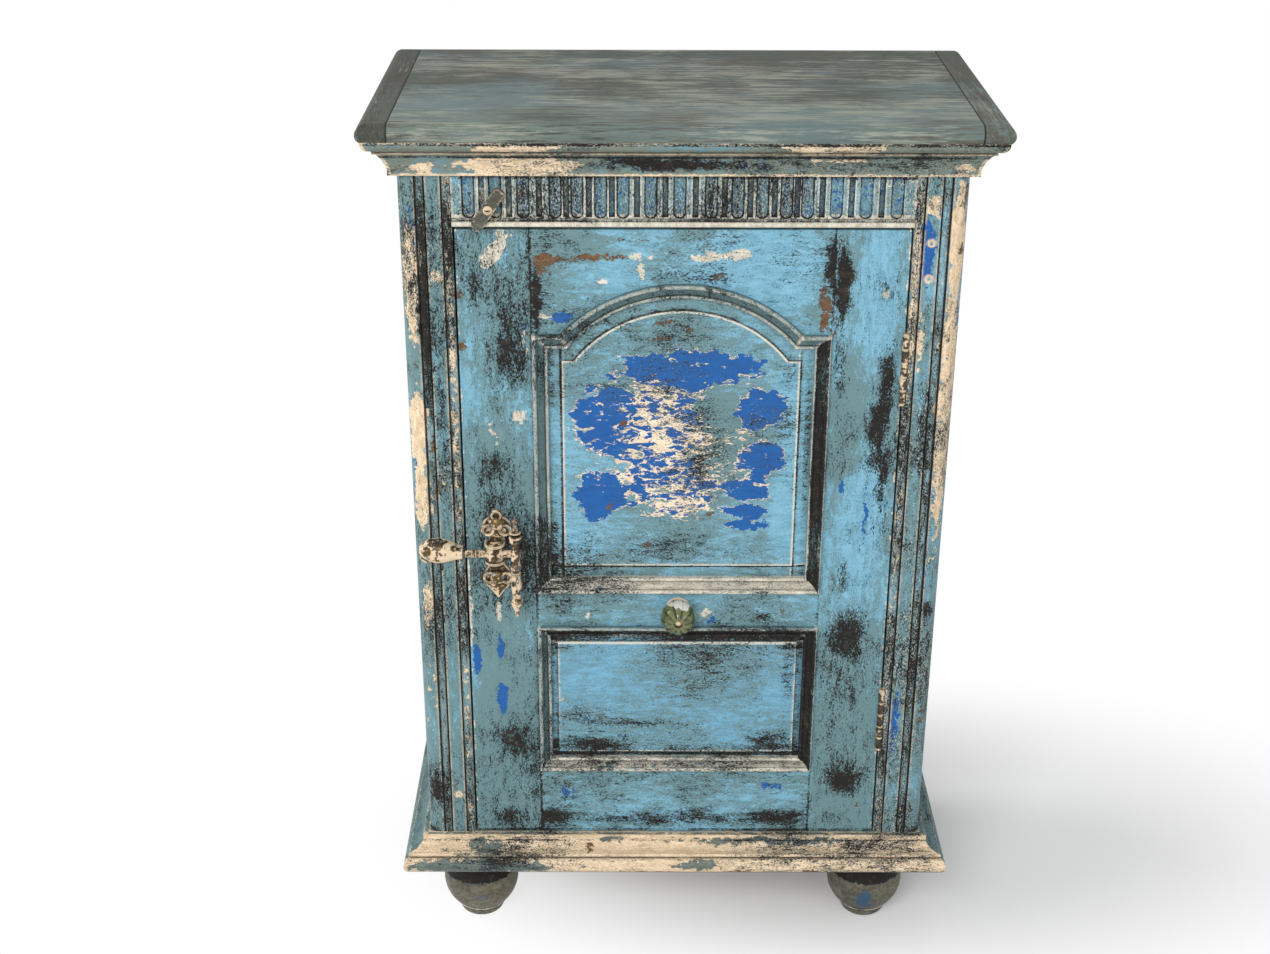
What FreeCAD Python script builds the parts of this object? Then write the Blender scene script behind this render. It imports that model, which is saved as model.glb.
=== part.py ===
import FreeCAD, Part

import math
import os

from FreeCAD import Vector

# A small free-standing painted wooden cupboard on bun feet, with one framed door.
# Millimetres. +Z is up and the door faces -Y. The origin lies on the floor, under the middle of the
# cupboard's overall width and depth. Right and left are the viewer's, so right is +X.

os.makedirs("parts", exist_ok=True)

# Overall sizes
cabinet_height = 900.0
body_width = 520.0
body_depth = 278.0
base_bottom = 97.0            # underside of the base moulding
cornice_height = 35.5
top_thickness = 16.0
top_overhang = 30.0           # past the body at the front and both sides

# Clearances
overrun = 40.0                # how far a cutter runs past what it cuts
fit_gap = 0.2                 # wood in a groove, mortise or notch
seat_gap = 0.3                # between pieces that move apart
pin_gap = 0.05                # radial, metal turning or sliding on metal
moving_gap = 0.5              # between a moving piece and what it passes

# Front posts
post_width = 49.5
post_depth = 34.0
post_bead_width = 8.0
post_bead_proud = 2.0
post_reed_width = 6.0
post_reed_proud = 1.2
post_flat_width = 14.0
quirk_width = 1.6
quirk_depth = 1.6
post_corner_radius = 15.9
rear_post_depth = 32.0

# Peg heads on the flats of the front posts
peg_radius = 3.4
peg_length = 24.0
left_peg_drop = 47.2          # below the frieze
left_peg_rise = 47.0          # above the bottom board
right_peg_drops = (15.2, 49.2)

# Grooves, tongues and tenons in the frames
groove_width = 8.0
groove_depth = 10.0
mortise_depth = 16.0
tenon_thickness = 10.0
tenon_shoulder = 12.0         # from a rail's edge to its tenon

# Sides
side_rail_thickness = 22.0
side_setback = 2.0            # outer face of the side rails behind the posts' outer faces
side_top_rail_height = 74.0
side_bottom_rail_height = 84.0
side_margin_width = 30.0      # bevelled border of a side panel
side_field_setback = 3.0      # field of a side panel behind its rails

# Back
back_board_thickness = 10.0
back_board_count = 3
back_lap = 8.0                # how far one back board laps the next
back_rebate_width = 12.0
back_rail_thickness = 20.0
back_rail_height = 70.0

# Frieze under the cornice
frieze_thickness = 25.0
frieze_height = 49.3          # below the cornice
frieze_bead_height = 5.5
frieze_bead_proud = 2.6
frieze_fillet_height = 1.9
frieze_fillet_proud = 0.8
flute_width = 12.5
flute_depth = 3.4
slot_width = 5.6
slot_depth = 2.6
slot_foot = 2.0               # from the fillet to the foot of a slot
# Where the hand-cut flutes stand, as shares of the frieze's length
flute_place_shares = (0.037, 0.095, 0.155, 0.224, 0.271, 0.322, 0.370, 0.430, 0.492,
                      0.560, 0.617, 0.670, 0.722, 0.767, 0.829, 0.893, 0.960)

# Inside
bottom_rail_thickness = 22.0
board_thickness = 18.0
shelf_drop = 2.0              # top of the shelf below the top of the door's middle rail
shelf_cleat_height = 22.0
shelf_cleat_width = 14.0
door_stop_width = 12.0

# Base moulding: how far each member stands past the body, and its height above the base
base_torus_height = 17.5
base_torus_reach = 26.0
base_torus_foot_reach = 22.0
base_bead_height = 4.0
base_bead_reach = 20.0
base_quirk_reach = 17.0
base_cove_top_reach = 6.0
base_cove_height = 9.0
base_fillet_height = 5.5

# Cornice, from its bottom upwards
cornice_foot_reach = 6.0
cornice_foot_height = 5.5
cavetto_reach = 15.5
cavetto_height = 17.0
cornice_fillet_reach = 17.5
cornice_fillet_height = 3.0
ovolo_reach = 26.5

# Edge of the top
nosing_foot_reach = 27.0
nosing_crest_height = 6.0     # widest point above the underside of the top
nosing_top_reach = 22.0
end_cleat_width = 28.0
end_tongue_length = 9.0
end_tongue_thickness = 6.0

# Bun feet
foot_inset = 49.0             # centre of a foot inside the body's faces
foot_ball_radius = 40.5
foot_ball_height = 44.0
foot_neck_radius = 28.0
foot_ring_radius = 28.4       # thin ring turned under the ball
foot_ring_height = 2.6
foot_ring_quirk = 1.0         # from the ring up to the ball
foot_waist_radius = 23.2      # under the ring
foot_waist_height = 13.0
foot_base_round = 8.2         # rounded edge of the sole
foot_sole_radius = 16.2
foot_tenon_radius = 12.0
foot_tenon_length = 16.0
foot_block_size = 60.0

# Door
door_thickness = 22.0
door_gap = 2.0                # beside the door
door_setback = 0.8            # face of the door behind the face of the posts
door_foot_gap = 1.0           # over the base moulding
door_head_gap = 2.7           # under the frieze
stile_width = 68.0
bottom_rail_height = 78.0
lower_opening_height = 171.0
mid_rail_height = 39.0
arch_shoulder_drop = 101.5    # shoulders of the arch below the door's top
arch_rise = 50.0              # crown of the arch above its shoulders
arch_ear_width = 26.48        # level shoulder at each side of the arch

# Door panels and their planted mouldings
panel_margin_depth = 6.0      # border of a panel behind the face of the door
field_depth = 2.5             # field of a panel behind the face of the door
field_step = 1.4
upper_field_margin = 28.0
lower_field_margin = 20.0
upper_moulding_width = 15.0
lower_moulding_width = 13.0
moulding_proud = 6.5
outer_bead_width = 4.2
inner_bead_width = 3.6
inner_bead_drop = 6.0         # top of the inner bead below the top of the outer one
moulding_quirk = 1.6

# Butt hinges
hinge_length = 69.0
upper_hinge_drop = 135.5      # middle of the upper hinge below the door's top
lower_hinge_rise = 140.0      # middle of the lower hinge above the door's foot
barrel_radius = 3.2
barrel_proud = 2.0            # centre of the barrel in front of the posts' faces
pin_radius = 1.5
pin_head_radius = 2.3
pin_head_height = 1.6
leaf_thickness = 1.8
leaf_width = 19.0
leaf_gap = 0.4                # between the closed leaves
knuckle_count = 5
screw_radius = 1.5
screw_head_radius = 3.0
screw_length = 16.0
screw_rows = (-22.0, 22.0)    # screws above and below a hinge's middle
screw_depth_in = 12.0         # screws behind the face of the posts

# Knob
knob_rise = 0.5               # above the middle of the door's middle rail
knob_radius = 17.3
knob_centre_proud = 18.6
knob_nose = 2.2               # flat cut off the front of the ball
knob_lobe_pairs = 5
knob_groove_width = 3.4
knob_groove_depth = 1.3
knob_neck_radius = 8.5
knob_collar_radius = 12.5
knob_collar_height = 2.6
knob_screw_radius = 2.0
knob_screw_head_radius = 4.0
knob_screw_head_height = 2.4
knob_nut_radius = 5.0
knob_nut_height = 3.5

# Turn button above the door
button_inset = 31.5           # from the door's free edge
button_rise = 17.8            # above the frieze's lower edge
button_reach = 22.0
button_width = 11.0
button_thickness = 5.0
button_corner = 2.5
button_tilt = 56.0            # degrees below the horizontal, lower end to the left
button_screw_radius = 2.2
button_screw_head_radius = 4.2
button_screw_head_height = 2.0
button_screw_length = 18.0
button_washer_radius = 5.0
button_slot_width = 1.6

# Latch on the door's left stile
latch_inset = 30.0            # middle of the plate from the door's free edge
latch_rise = 47.0             # bolt above the door's middle rail
latch_bolt_radius = 3.6
latch_bolt_proud = 9.6        # axis of the bolt in front of the door's face
latch_tip_gap = 2.4           # between the drawn bolt and the keeper
latch_bolt_tail = 4.0         # past the middle of the handle
bolt_ring_count = 3
bolt_ring_width = 2.4
bolt_ring_proud = 0.9
bolt_ring_start = 6.0         # from the tip
plate_thickness = 2.6
plate_neck_width = 15.0
boss_offset = 2.0             # middle of the boss from the middle of the plate
boss_radius = 8.6
boss_straight = 6.5
boss_height = 21.0
boss_band_height = 2.4
boss_band_proud = 1.3
crest_width = 27.0
crest_height = 26.0
crest_proud = 7.5
crest_offset = 29.5           # middle of a cartouche above or below the bolt
scroll_radius = 5.2
scroll_rod = 2.1
finial_ring_radius = 4.4
finial_ring_rod = 1.7
plate_top_reach = 43.0
plate_bottom_reach = 53.0
handle_offset = 19.5          # from the middle of the plate
handle_proud = 24.0
handle_shaft_radius = 4.2
handle_ring_radius = 6.2
handle_cup_radius = 5.6
handle_neck_radius = 2.6
handle_ball_radius = 5.2
handle_top_reach = 45.0
handle_bottom_reach = 62.0
handle_low_ring_share = 0.7   # of the reach below the bolt
handle_middle_share = 0.2
handle_high_ring_share = 0.58  # of the reach above the bolt
arm_radius = 2.6
eye_radius = 5.4
eye_length = 5.0

# Leaf-shaped keeper on the left post
keeper_setback = 1.5          # mouth of the leaf from the post's inner edge
keeper_length = 43.0
keeper_tip_radius = 5.4
keeper_widest = 26.0
keeper_bore_depth = 14.0
# Sections of the leaf, as shares of its length, its widest half height and its depth
keeper_shares = ((0.25, 0.65, 1), (0.55, 1, 0.97), (0.8, 0.85, 0.8), (1, 0.3, 0.35))

# Sizes that follow from the ones above
half_body = body_width / 2
opening_half = half_body - post_width
knob_reach = knob_centre_proud + knob_radius - knob_nose
front_y = (knob_reach - door_setback - body_depth) / 2
rear_y = front_y + body_depth
top_underside = cabinet_height - top_thickness
cornice_bottom = top_underside - cornice_height
frieze_bottom = cornice_bottom - frieze_height
base_moulding_height = base_torus_height + base_bead_height + base_cove_height + base_fillet_height
bottom_board_top = base_bottom + base_moulding_height
door_half = opening_half - door_gap
door_bottom = bottom_board_top + door_foot_gap
door_top = frieze_bottom - door_head_gap
bottom_rail_top = door_bottom + bottom_rail_height
mid_rail_bottom = bottom_rail_top + lower_opening_height
mid_rail_top = mid_rail_bottom + mid_rail_height
shelf_top = mid_rail_top - shelf_drop
door_face_y = front_y + door_setback
door_back_y = door_face_y + door_thickness
stile_inner = door_half - stile_width
arch_shoulder = door_top - arch_shoulder_drop
arch_half = stile_inner - arch_ear_width
arch_radius = (arch_half ** 2 + arch_rise ** 2) / (2 * arch_rise)
arch_centre = arch_shoulder + arch_rise - arch_radius
margin_y = door_face_y + panel_margin_depth
hinge_x = opening_half - door_gap / 2
hinge_y = front_y - barrel_proud
hinge_centres = (door_top - upper_hinge_drop, door_bottom + lower_hinge_rise)
knob_height = (mid_rail_bottom + mid_rail_top) / 2 + knob_rise
button_x = button_inset - door_half
button_z = frieze_bottom + button_rise
latch_x = latch_inset - door_half
latch_z = mid_rail_top + latch_rise
handle_x = latch_x + handle_offset
keeper_mouth = -opening_half - keeper_setback
latch_bolt_tip = keeper_mouth + latch_tip_gap
latch_y = door_face_y - latch_bolt_proud
handle_y = door_face_y - handle_proud
groove_y = margin_y - fit_gap
rear_post_y = rear_y - rear_post_depth
board_plane_y = rear_y - back_board_thickness
panel_groove_x = half_body - side_setback - (side_rail_thickness + groove_width) / 2
frieze_tenon = (frieze_bottom + tenon_shoulder, top_underside - tenon_shoulder)
bottom_rail_tenon = (base_bottom + tenon_shoulder / 2, bottom_board_top - tenon_shoulder / 2)
tenon_y = front_y + (bottom_rail_thickness - tenon_thickness) / 2
stop_y = door_back_y + moving_gap
stop_back_y = stop_y + door_stop_width
button_back_y = front_y - frieze_bead_proud - moving_gap


def in_plan(z):
    """Places plan coordinates x, y at height z."""
    return lambda x, y: Vector(x, y, z)


def facing(y):
    """Places front-view coordinates x, z in the plane at y."""
    return lambda x, z: Vector(x, y, z)


def in_side_view(x):
    """Places side-view coordinates y, z in the plane at x."""
    return lambda y, z: Vector(x, y, z)


def outline(points, place):
    """A closed wire. Two values are a corner; four are the middle and the end of an arc."""
    edges = []
    last = place(*points[0][-2:])
    for point in points[1:] + points[:1]:
        end = place(*point[-2:])
        if len(point) == 4:
            edges.append(Part.Arc(last, place(*point[:2]), end).toShape())
        else:
            edges.append(Part.makeLine(last, end))
        last = end
    return Part.Wire(edges)


def extrude(points, place, along):
    """The outline, filled and drawn out along a vector."""
    return Part.Face(outline(points, place)).extrude(along)


def turned(points, place, centre, axis):
    """The outline, filled and turned once about an axis."""
    return Part.Face(outline(points, place)).revolve(centre, axis, 360)


def box(x0, x1, y0, y1, z0, z1):
    return Part.makeBox(x1 - x0, y1 - y0, z1 - z0, Vector(x0, y0, z0))


def rod(radius, start, end):
    """A round rod between two points."""
    along = end - start
    return Part.makeCylinder(radius, along.Length, start, along)


def mirrored(shape):
    """The same piece for the other side of the cupboard."""
    return shape.mirror(Vector(0, 0, 0), Vector(1, 0, 0))


def joined(first, *others):
    return first.fuse(list(others)).removeSplitter()


def half_round(start, width, proud, place_back):
    """An arc from start over width, standing proud towards the viewer; returned as one arc point."""
    return (start + width / 2, place_back - proud, start + width, place_back)


def dome(radius, low, high):
    """An arc from a rim up to the axis, centred on the axis; returned as one arc point."""
    ball = (radius ** 2 + (high - low) ** 2) / (2 * (high - low))
    angle = math.asin(radius / ball) / 2
    return (ball * math.sin(angle), high - ball * (1 - math.cos(angle)), 0, high)


def rectangle(x0, x1, z0, z1):
    return [(x0, z0), (x1, z0), (x1, z1), (x0, z1)]


# Frame of the body

def side_groove(x0, z0, z1):
    """The groove for a side panel, clear of the post's ends, in the front and rear posts."""
    return box(x0, x0 + groove_width, front_y + post_depth - groove_depth,
               rear_post_y + groove_depth, z0, z1)


def front_post():
    """Right front post: bead, quirk, flat, reed and a rounded outer corner; square behind the mouldings."""
    bead_end = opening_half + post_bead_width
    flat_start = bead_end + quirk_width
    flat_end = flat_start + post_flat_width
    reed_start = flat_end + quirk_width
    reed_end = reed_start + post_reed_width
    round_start = half_body - post_corner_radius
    bow = post_corner_radius * (1 - math.sqrt(1 / 2))
    section = [
        (opening_half, front_y),
        half_round(opening_half, post_bead_width, post_bead_proud, front_y),
        (bead_end + quirk_width / 2, front_y + quirk_depth),
        (flat_start, front_y),
        (flat_end, front_y),
        (flat_end + quirk_width / 2, front_y + quirk_depth),
        (reed_start, front_y),
        half_round(reed_start, post_reed_width, post_reed_proud, front_y),
        ((reed_end + round_start) / 2, front_y + quirk_depth),
        (round_start, front_y),
        (half_body - bow, front_y + bow, half_body, front_y + post_corner_radius),
        (half_body, front_y + post_depth),
        (opening_half, front_y + post_depth),
    ]
    shaft = extrude(section, in_plan(bottom_board_top), Vector(0, 0, cornice_bottom - bottom_board_top))
    back_edge = front_y + post_depth
    foot = box(opening_half, half_body, front_y, back_edge, base_bottom, bottom_board_top)
    head = box(opening_half, half_body, front_y, back_edge, cornice_bottom, top_underside)
    post = joined(shaft, foot, head)
    post = post.cut(side_groove(panel_groove_x, base_bottom - overrun, top_underside + overrun))
    mortise_x = opening_half + mortise_depth
    for low, high in (frieze_tenon, bottom_rail_tenon):
        post = post.cut(box(opening_half - overrun, mortise_x, tenon_y - fit_gap,
                            tenon_y + tenon_thickness + fit_gap, low - fit_gap, high + fit_gap))
    return post


def peg(x, z, radius):
    return rod(radius, Vector(x, front_y, z), Vector(x, front_y + peg_length, z))


def rear_post():
    """Right rear post, rebated for the back boards and grooved for the side panel."""
    post = box(opening_half, half_body, rear_post_y, rear_y, base_bottom, top_underside)
    post = post.cut(box(opening_half - overrun, opening_half + back_rebate_width, board_plane_y,
                        rear_y + overrun, base_bottom - overrun, top_underside + overrun))
    return post.cut(side_groove(panel_groove_x, base_bottom - overrun, top_underside + overrun))


def side_rail(low, high, groove_at_top):
    """A right-hand side rail with stub tongues in the posts' grooves and a groove for the panel."""
    outer = half_body - side_setback
    start = front_y + post_depth
    tongue_x0 = panel_groove_x + fit_gap
    tongue_x1 = panel_groove_x + groove_width - fit_gap
    tongue = groove_depth - moving_gap
    edge = high if groove_at_top else low
    inset = -groove_depth if groove_at_top else groove_depth
    rail = box(outer - side_rail_thickness, outer, start, rear_post_y, low, high)
    tongue_low = low if groove_at_top else low + groove_depth
    tongue_high = high - groove_depth if groove_at_top else high
    rail = joined(rail, box(tongue_x0, tongue_x1, start - tongue, rear_post_y + tongue,
                            tongue_low, tongue_high))
    ends = sorted((edge + inset, edge - inset))
    return rail.cut(box(panel_groove_x, panel_groove_x + groove_width, start - overrun,
                        rear_post_y + overrun, *ends))


def side_panel():
    """The right-hand side panel: a raised field with a bevelled border, tongued all round."""
    reach = groove_depth - moving_gap
    y0 = front_y + post_depth
    y1 = rear_post_y
    z0 = base_bottom + side_bottom_rail_height
    z1 = top_underside - side_top_rail_height
    x0 = panel_groove_x + fit_gap
    x1 = panel_groove_x + groove_width - fit_gap
    field_x = half_body - side_setback - side_field_setback
    slab = box(x0, x1, y0 - reach, y1 + reach, z0 - reach, z1 + reach)
    border = outline(rectangle(y0 + seat_gap, y1 - seat_gap, z0 + seat_gap, z1 - seat_gap),
                     in_side_view(x1))
    field = outline(rectangle(y0 + side_margin_width, y1 - side_margin_width,
                              z0 + side_margin_width, z1 - side_margin_width),
                    in_side_view(field_x))
    return joined(slab, Part.makeLoft([border, field], True, True))


def frieze_rail():
    """Fluted rail between the posts: round-footed flutes, narrow slots, a fillet and a bead."""
    length = 2 * opening_half
    rail = box(-opening_half, opening_half, front_y, front_y + frieze_thickness,
               frieze_bottom, top_underside)
    low, high = frieze_tenon
    rail = joined(rail, box(-opening_half - mortise_depth + moving_gap,
                            opening_half + mortise_depth - moving_gap,
                            tenon_y, tenon_y + tenon_thickness, low, high))
    bead_middle = frieze_bottom + frieze_bead_height / 2
    bead_top = frieze_bottom + frieze_bead_height
    fillet_top = bead_top + frieze_fillet_height
    bead = [
        (front_y, bead_top),
        (front_y - frieze_bead_proud, bead_middle, front_y, frieze_bottom),
    ]
    start = in_side_view(-opening_half)
    bead_rod = extrude(bead, start, Vector(length, 0, 0))
    fillet = box(-opening_half, opening_half, front_y - frieze_fillet_proud, front_y,
                 bead_top, fillet_top)
    rail = joined(rail, bead_rod, fillet)
    flute_radius = (flute_width ** 2 / 4 + flute_depth ** 2) / (2 * flute_depth)
    flute_y = front_y + flute_depth - flute_radius
    foot_z = fillet_top + flute_width / 2
    cutters = []
    places = [length * share - opening_half for share in flute_place_shares]
    for x in places:
        cutters.append(rod(flute_radius, Vector(x, flute_y, foot_z), Vector(x, flute_y, cornice_bottom)))
        cutters.append(Part.makeSphere(flute_radius, Vector(x, flute_y, foot_z)))
    for left, right in zip(places, places[1:]):
        middle = (left + right) / 2
        cutters.append(box(middle - slot_width / 2, middle + slot_width / 2, front_y - overrun,
                           front_y + slot_depth, fillet_top + slot_foot, cornice_bottom))
    return rail.cut(cutters)


def bottom_rail():
    rail = box(-opening_half, opening_half, front_y, front_y + bottom_rail_thickness,
               base_bottom, bottom_board_top)
    low, high = bottom_rail_tenon
    return joined(rail, box(-opening_half - mortise_depth + moving_gap,
                            opening_half + mortise_depth - moving_gap,
                            tenon_y, tenon_y + tenon_thickness, low, high))


def notched_board(low, high, front):
    """A board across the inside, notched round the posts."""
    wide = half_body - side_setback - side_rail_thickness - fit_gap
    narrow = opening_half - fit_gap
    board = box(-wide, wide, front, board_plane_y - back_rail_thickness - fit_gap, low, high)
    for side in (-1, 1):
        x0, x1 = sorted((side * narrow, side * half_body))
        board = board.cut(box(x0, x1, front_y, front_y + post_depth + fit_gap, low, high))
        board = board.cut(box(x0, x1, rear_post_y - fit_gap, rear_y, low, high))
    return board


def shelf_cleat():
    """Right-hand cleat under the shelf, fixed to the inner faces of both posts."""
    high = shelf_top - board_thickness
    return box(opening_half - shelf_cleat_width, opening_half, stop_back_y + moving_gap,
               rear_y - back_board_thickness - back_rail_thickness - fit_gap,
               high - shelf_cleat_height, high)


def door_stop():
    """Strip behind the free edge of the door."""
    return box(-opening_half, -opening_half + door_stop_width, stop_y, stop_back_y,
               bottom_board_top, frieze_bottom)


def back_board(index):
    """One back board, lapped over the next."""
    half = opening_half + back_rebate_width - fit_gap
    pitch = 2 * half / back_board_count
    x0 = -half + index * pitch
    x1 = x0 + pitch - fit_gap
    middle = board_plane_y + back_board_thickness / 2
    last = index == back_board_count - 1
    board = box(x0, x1, board_plane_y, rear_y, base_bottom, top_underside)
    if not last:
        board = joined(board, box(x1, x1 + back_lap, middle + fit_gap, rear_y,
                                  base_bottom, top_underside))
    if index > 0:
        board = board.cut(box(x0 - overrun, x0 + back_lap + fit_gap, middle, rear_y + overrun,
                              base_bottom - overrun, top_underside + overrun))
    return board


def back_rail(low, high):
    """Rail between the rear posts, in front of the back boards."""
    return box(-opening_half, opening_half, board_plane_y - back_rail_thickness, board_plane_y,
               low, high)


# Mouldings round the body

def around_body(section, reach):
    """Front, right and left lengths of one moulding section, mitred at the front corners."""
    far = reach + overrun
    height = Vector(0, 0, cabinet_height)
    corner = (half_body, front_y)
    tip = (half_body + far, front_y - far)
    front_zone = extrude([(-corner[0], corner[1]), corner, tip, (-tip[0], tip[1])], in_plan(0), height)
    side_zone = extrude([corner, tip, (tip[0], rear_y), (corner[0], rear_y)], in_plan(0), height)
    front = extrude(section, lambda u, z: Vector(-half_body - far, front_y - u, z),
                    Vector(body_width + 2 * far, 0, 0)).common(front_zone)
    right = extrude(section, lambda u, z: Vector(half_body + u, front_y - far, z),
                    Vector(0, body_depth + far, 0)).common(side_zone)
    return front, right, mirrored(right)


def base_moulding():
    torus_top = base_bottom + base_torus_height
    bead_top = torus_top + base_bead_height
    cove_top = bead_top + base_cove_height
    fillet_top = cove_top + base_fillet_height
    section = [
        (0, base_bottom),
        (base_torus_foot_reach, base_bottom),
        (base_torus_reach, base_bottom + base_torus_height / 2, base_bead_reach, torus_top),
        (base_bead_reach + quirk_width / 2, torus_top + base_bead_height / 2, base_bead_reach, bead_top),
        (base_quirk_reach, bead_top),
        (base_cove_top_reach + base_cove_height / 3, bead_top + base_cove_height / 3,
         base_cove_top_reach, cove_top),
        (base_cove_top_reach, fillet_top),
        (0, fillet_top),
    ]
    return around_body(section, base_torus_reach)


def cornice():
    foot_top = cornice_bottom + cornice_foot_height
    cavetto_top = foot_top + cavetto_height
    fillet_top = cavetto_top + cornice_fillet_height
    bulge = (ovolo_reach - cornice_fillet_reach) / 4
    section = [
        (0, cornice_bottom),
        (cornice_foot_reach, cornice_bottom),
        (cornice_foot_reach, foot_top),
        (cornice_foot_reach + cavetto_reach / 5, cavetto_top - cavetto_height / 2,
         cavetto_reach, cavetto_top),
        (cornice_fillet_reach, cavetto_top),
        (cornice_fillet_reach, fillet_top),
        ((cornice_fillet_reach + ovolo_reach) / 2 + bulge, (fillet_top + top_underside) / 2 - bulge,
         ovolo_reach, top_underside),
        (0, top_underside),
    ]
    return around_body(section, ovolo_reach)


def top_slab():
    """The whole top with its nosing, before it is parted into a board and two end cleats."""
    crest = top_underside + nosing_crest_height
    half = half_body + top_overhang
    edge = top_overhang - nosing_foot_reach
    lip = top_overhang - nosing_top_reach
    across = [
        (-half, crest, -half + edge, top_underside),
        (half - edge, top_underside),
        (half, crest, half - lip, cabinet_height),
        (-half + lip, cabinet_height),
    ]
    front = front_y - top_overhang
    deep = [
        (rear_y, top_underside),
        (rear_y, cabinet_height),
        (front + lip, cabinet_height),
        (front, crest, front + edge, top_underside),
    ]
    slab = extrude(across, facing(front - overrun), Vector(0, body_depth + 3 * overrun, 0))
    return slab.common(extrude(deep, in_side_view(-half - overrun), Vector(body_width + 4 * overrun, 0, 0)))


def top_pieces():
    """Top board, and the right and left end cleats tongued on to it."""
    slab = top_slab()
    joint = half_body + top_overhang - end_cleat_width
    far = half_body + top_overhang + overrun
    y0 = front_y - top_overhang - overrun
    y1 = rear_y + overrun
    z0 = top_underside - overrun
    z1 = cabinet_height + overrun
    tongue_low = top_underside + (top_thickness - end_tongue_thickness) / 2
    tongue_high = tongue_low + end_tongue_thickness
    tongue_front = front_y
    board = slab.common(box(-joint, joint, y0, y1, z0, z1))
    reach = joint + end_tongue_length
    board = joined(board, box(-reach, reach, tongue_front, rear_y, tongue_low, tongue_high))
    cleat = slab.common(box(joint + moving_gap, far, y0, y1, z0, z1))
    cleat = cleat.cut(box(joint, reach + fit_gap, tongue_front - fit_gap, y1,
                          tongue_low - fit_gap, tongue_high + fit_gap))
    return board, cleat, mirrored(cleat)


# Feet

def foot(x, y):
    """A turned bun foot: base, thin ring, ball, neck and tenon."""
    bow = foot_base_round * math.sqrt(1 / 2)
    ring_nose = foot_ring_height / 2
    ring_top = foot_waist_height + foot_ring_height
    ball_low = ring_top + foot_ring_quirk
    ball_start = math.sqrt(foot_ball_radius ** 2 - (foot_ball_height - ball_low) ** 2)
    neck_height = foot_ball_height + math.sqrt(foot_ball_radius ** 2 - foot_neck_radius ** 2)
    profile = [
        (0, 0),
        (foot_sole_radius, 0),
        (foot_sole_radius + bow, foot_base_round - bow, foot_sole_radius + foot_base_round, foot_base_round),
        (foot_waist_radius, foot_waist_height),
        (foot_ring_radius - ring_nose, foot_waist_height),
        (foot_ring_radius, foot_waist_height + ring_nose, foot_ring_radius - ring_nose, ring_top),
        (ball_start, ball_low),
        (foot_ball_radius, foot_ball_height, foot_neck_radius, neck_height),
        (foot_neck_radius, base_bottom),
        (foot_tenon_radius, base_bottom),
        (foot_tenon_radius, base_bottom + foot_tenon_length),
        (0, base_bottom + foot_tenon_length),
    ]
    return turned(profile, lambda r, z: Vector(x + r, y, z), Vector(x, y, 0), Vector(0, 0, 1))


def foot_block(x, y, low_y, high_y):
    """Glue block over a foot, under the bottom board."""
    high = bottom_board_top - board_thickness
    outer = half_body - side_setback - side_rail_thickness
    block = box(outer - foot_block_size, outer, low_y, high_y, base_bottom, high)
    if x < 0:
        block = mirrored(block)
    return block.cut(rod(foot_tenon_radius + fit_gap, Vector(x, y, base_bottom - overrun),
                         Vector(x, y, cabinet_height)))


# Door

def arch_points(grow):
    """The upper opening with its arched head, grown outwards by a distance."""
    half = stile_inner + grow
    foot_z = mid_rail_top - grow
    shoulder = arch_shoulder + grow
    radius = arch_radius + grow
    kink = math.sqrt(radius ** 2 - (shoulder - arch_centre) ** 2)
    return [(-half, foot_z), (half, foot_z), (half, shoulder), (kink, shoulder),
            (0, arch_centre + radius, -kink, shoulder), (-half, shoulder)]


def lower_points(grow):
    """The lower opening, grown outwards by a distance."""
    half = stile_inner + grow
    return rectangle(-half, half, bottom_rail_top - grow, mid_rail_bottom + grow)


def panel_slot(points_of):
    """The space that a panel's tongue needs in the frame."""
    return extrude(points_of(groove_depth), facing(groove_y), Vector(0, groove_width, 0))


def door_panel(points_of, moulding_width, margin):
    """A raised panel: tongue, border bevelled from the moulding's inner edge, small step and flat field."""
    back = groove_width - 2 * fit_gap
    tongue = extrude(points_of(groove_depth - moving_gap), facing(margin_y), Vector(0, back, 0))
    step_y = door_face_y + field_depth + field_step
    border = outline(points_of(-moulding_width), facing(margin_y))
    foot_of_step = outline(points_of(-margin), facing(step_y))
    bevel = Part.makeLoft([border, foot_of_step], True, True)
    field = extrude(points_of(-margin), facing(door_face_y + field_depth), Vector(0, field_step, 0))
    return joined(tongue, bevel, field)


def door_stile():
    """Right-hand stile, grooved for the rails and panels."""
    stile = box(stile_inner, door_half, door_face_y, door_back_y, door_bottom, door_top)
    return stile.cut(box(stile_inner - overrun, stile_inner + groove_depth, groove_y,
                         groove_y + groove_width, door_bottom - overrun, door_top + overrun))


def door_rail(low, high, tenon_low, tenon_high, slots):
    """A rail with stub tenons in the stiles and the panel grooves cut in it."""
    reach = stile_inner + groove_depth - moving_gap
    rail = box(-stile_inner, stile_inner, door_face_y, door_back_y, low, high)
    for slot in slots:
        rail = rail.cut(slot)
    return joined(rail, box(-reach, reach, margin_y, groove_y + groove_width - fit_gap,
                            tenon_low, tenon_high))


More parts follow.
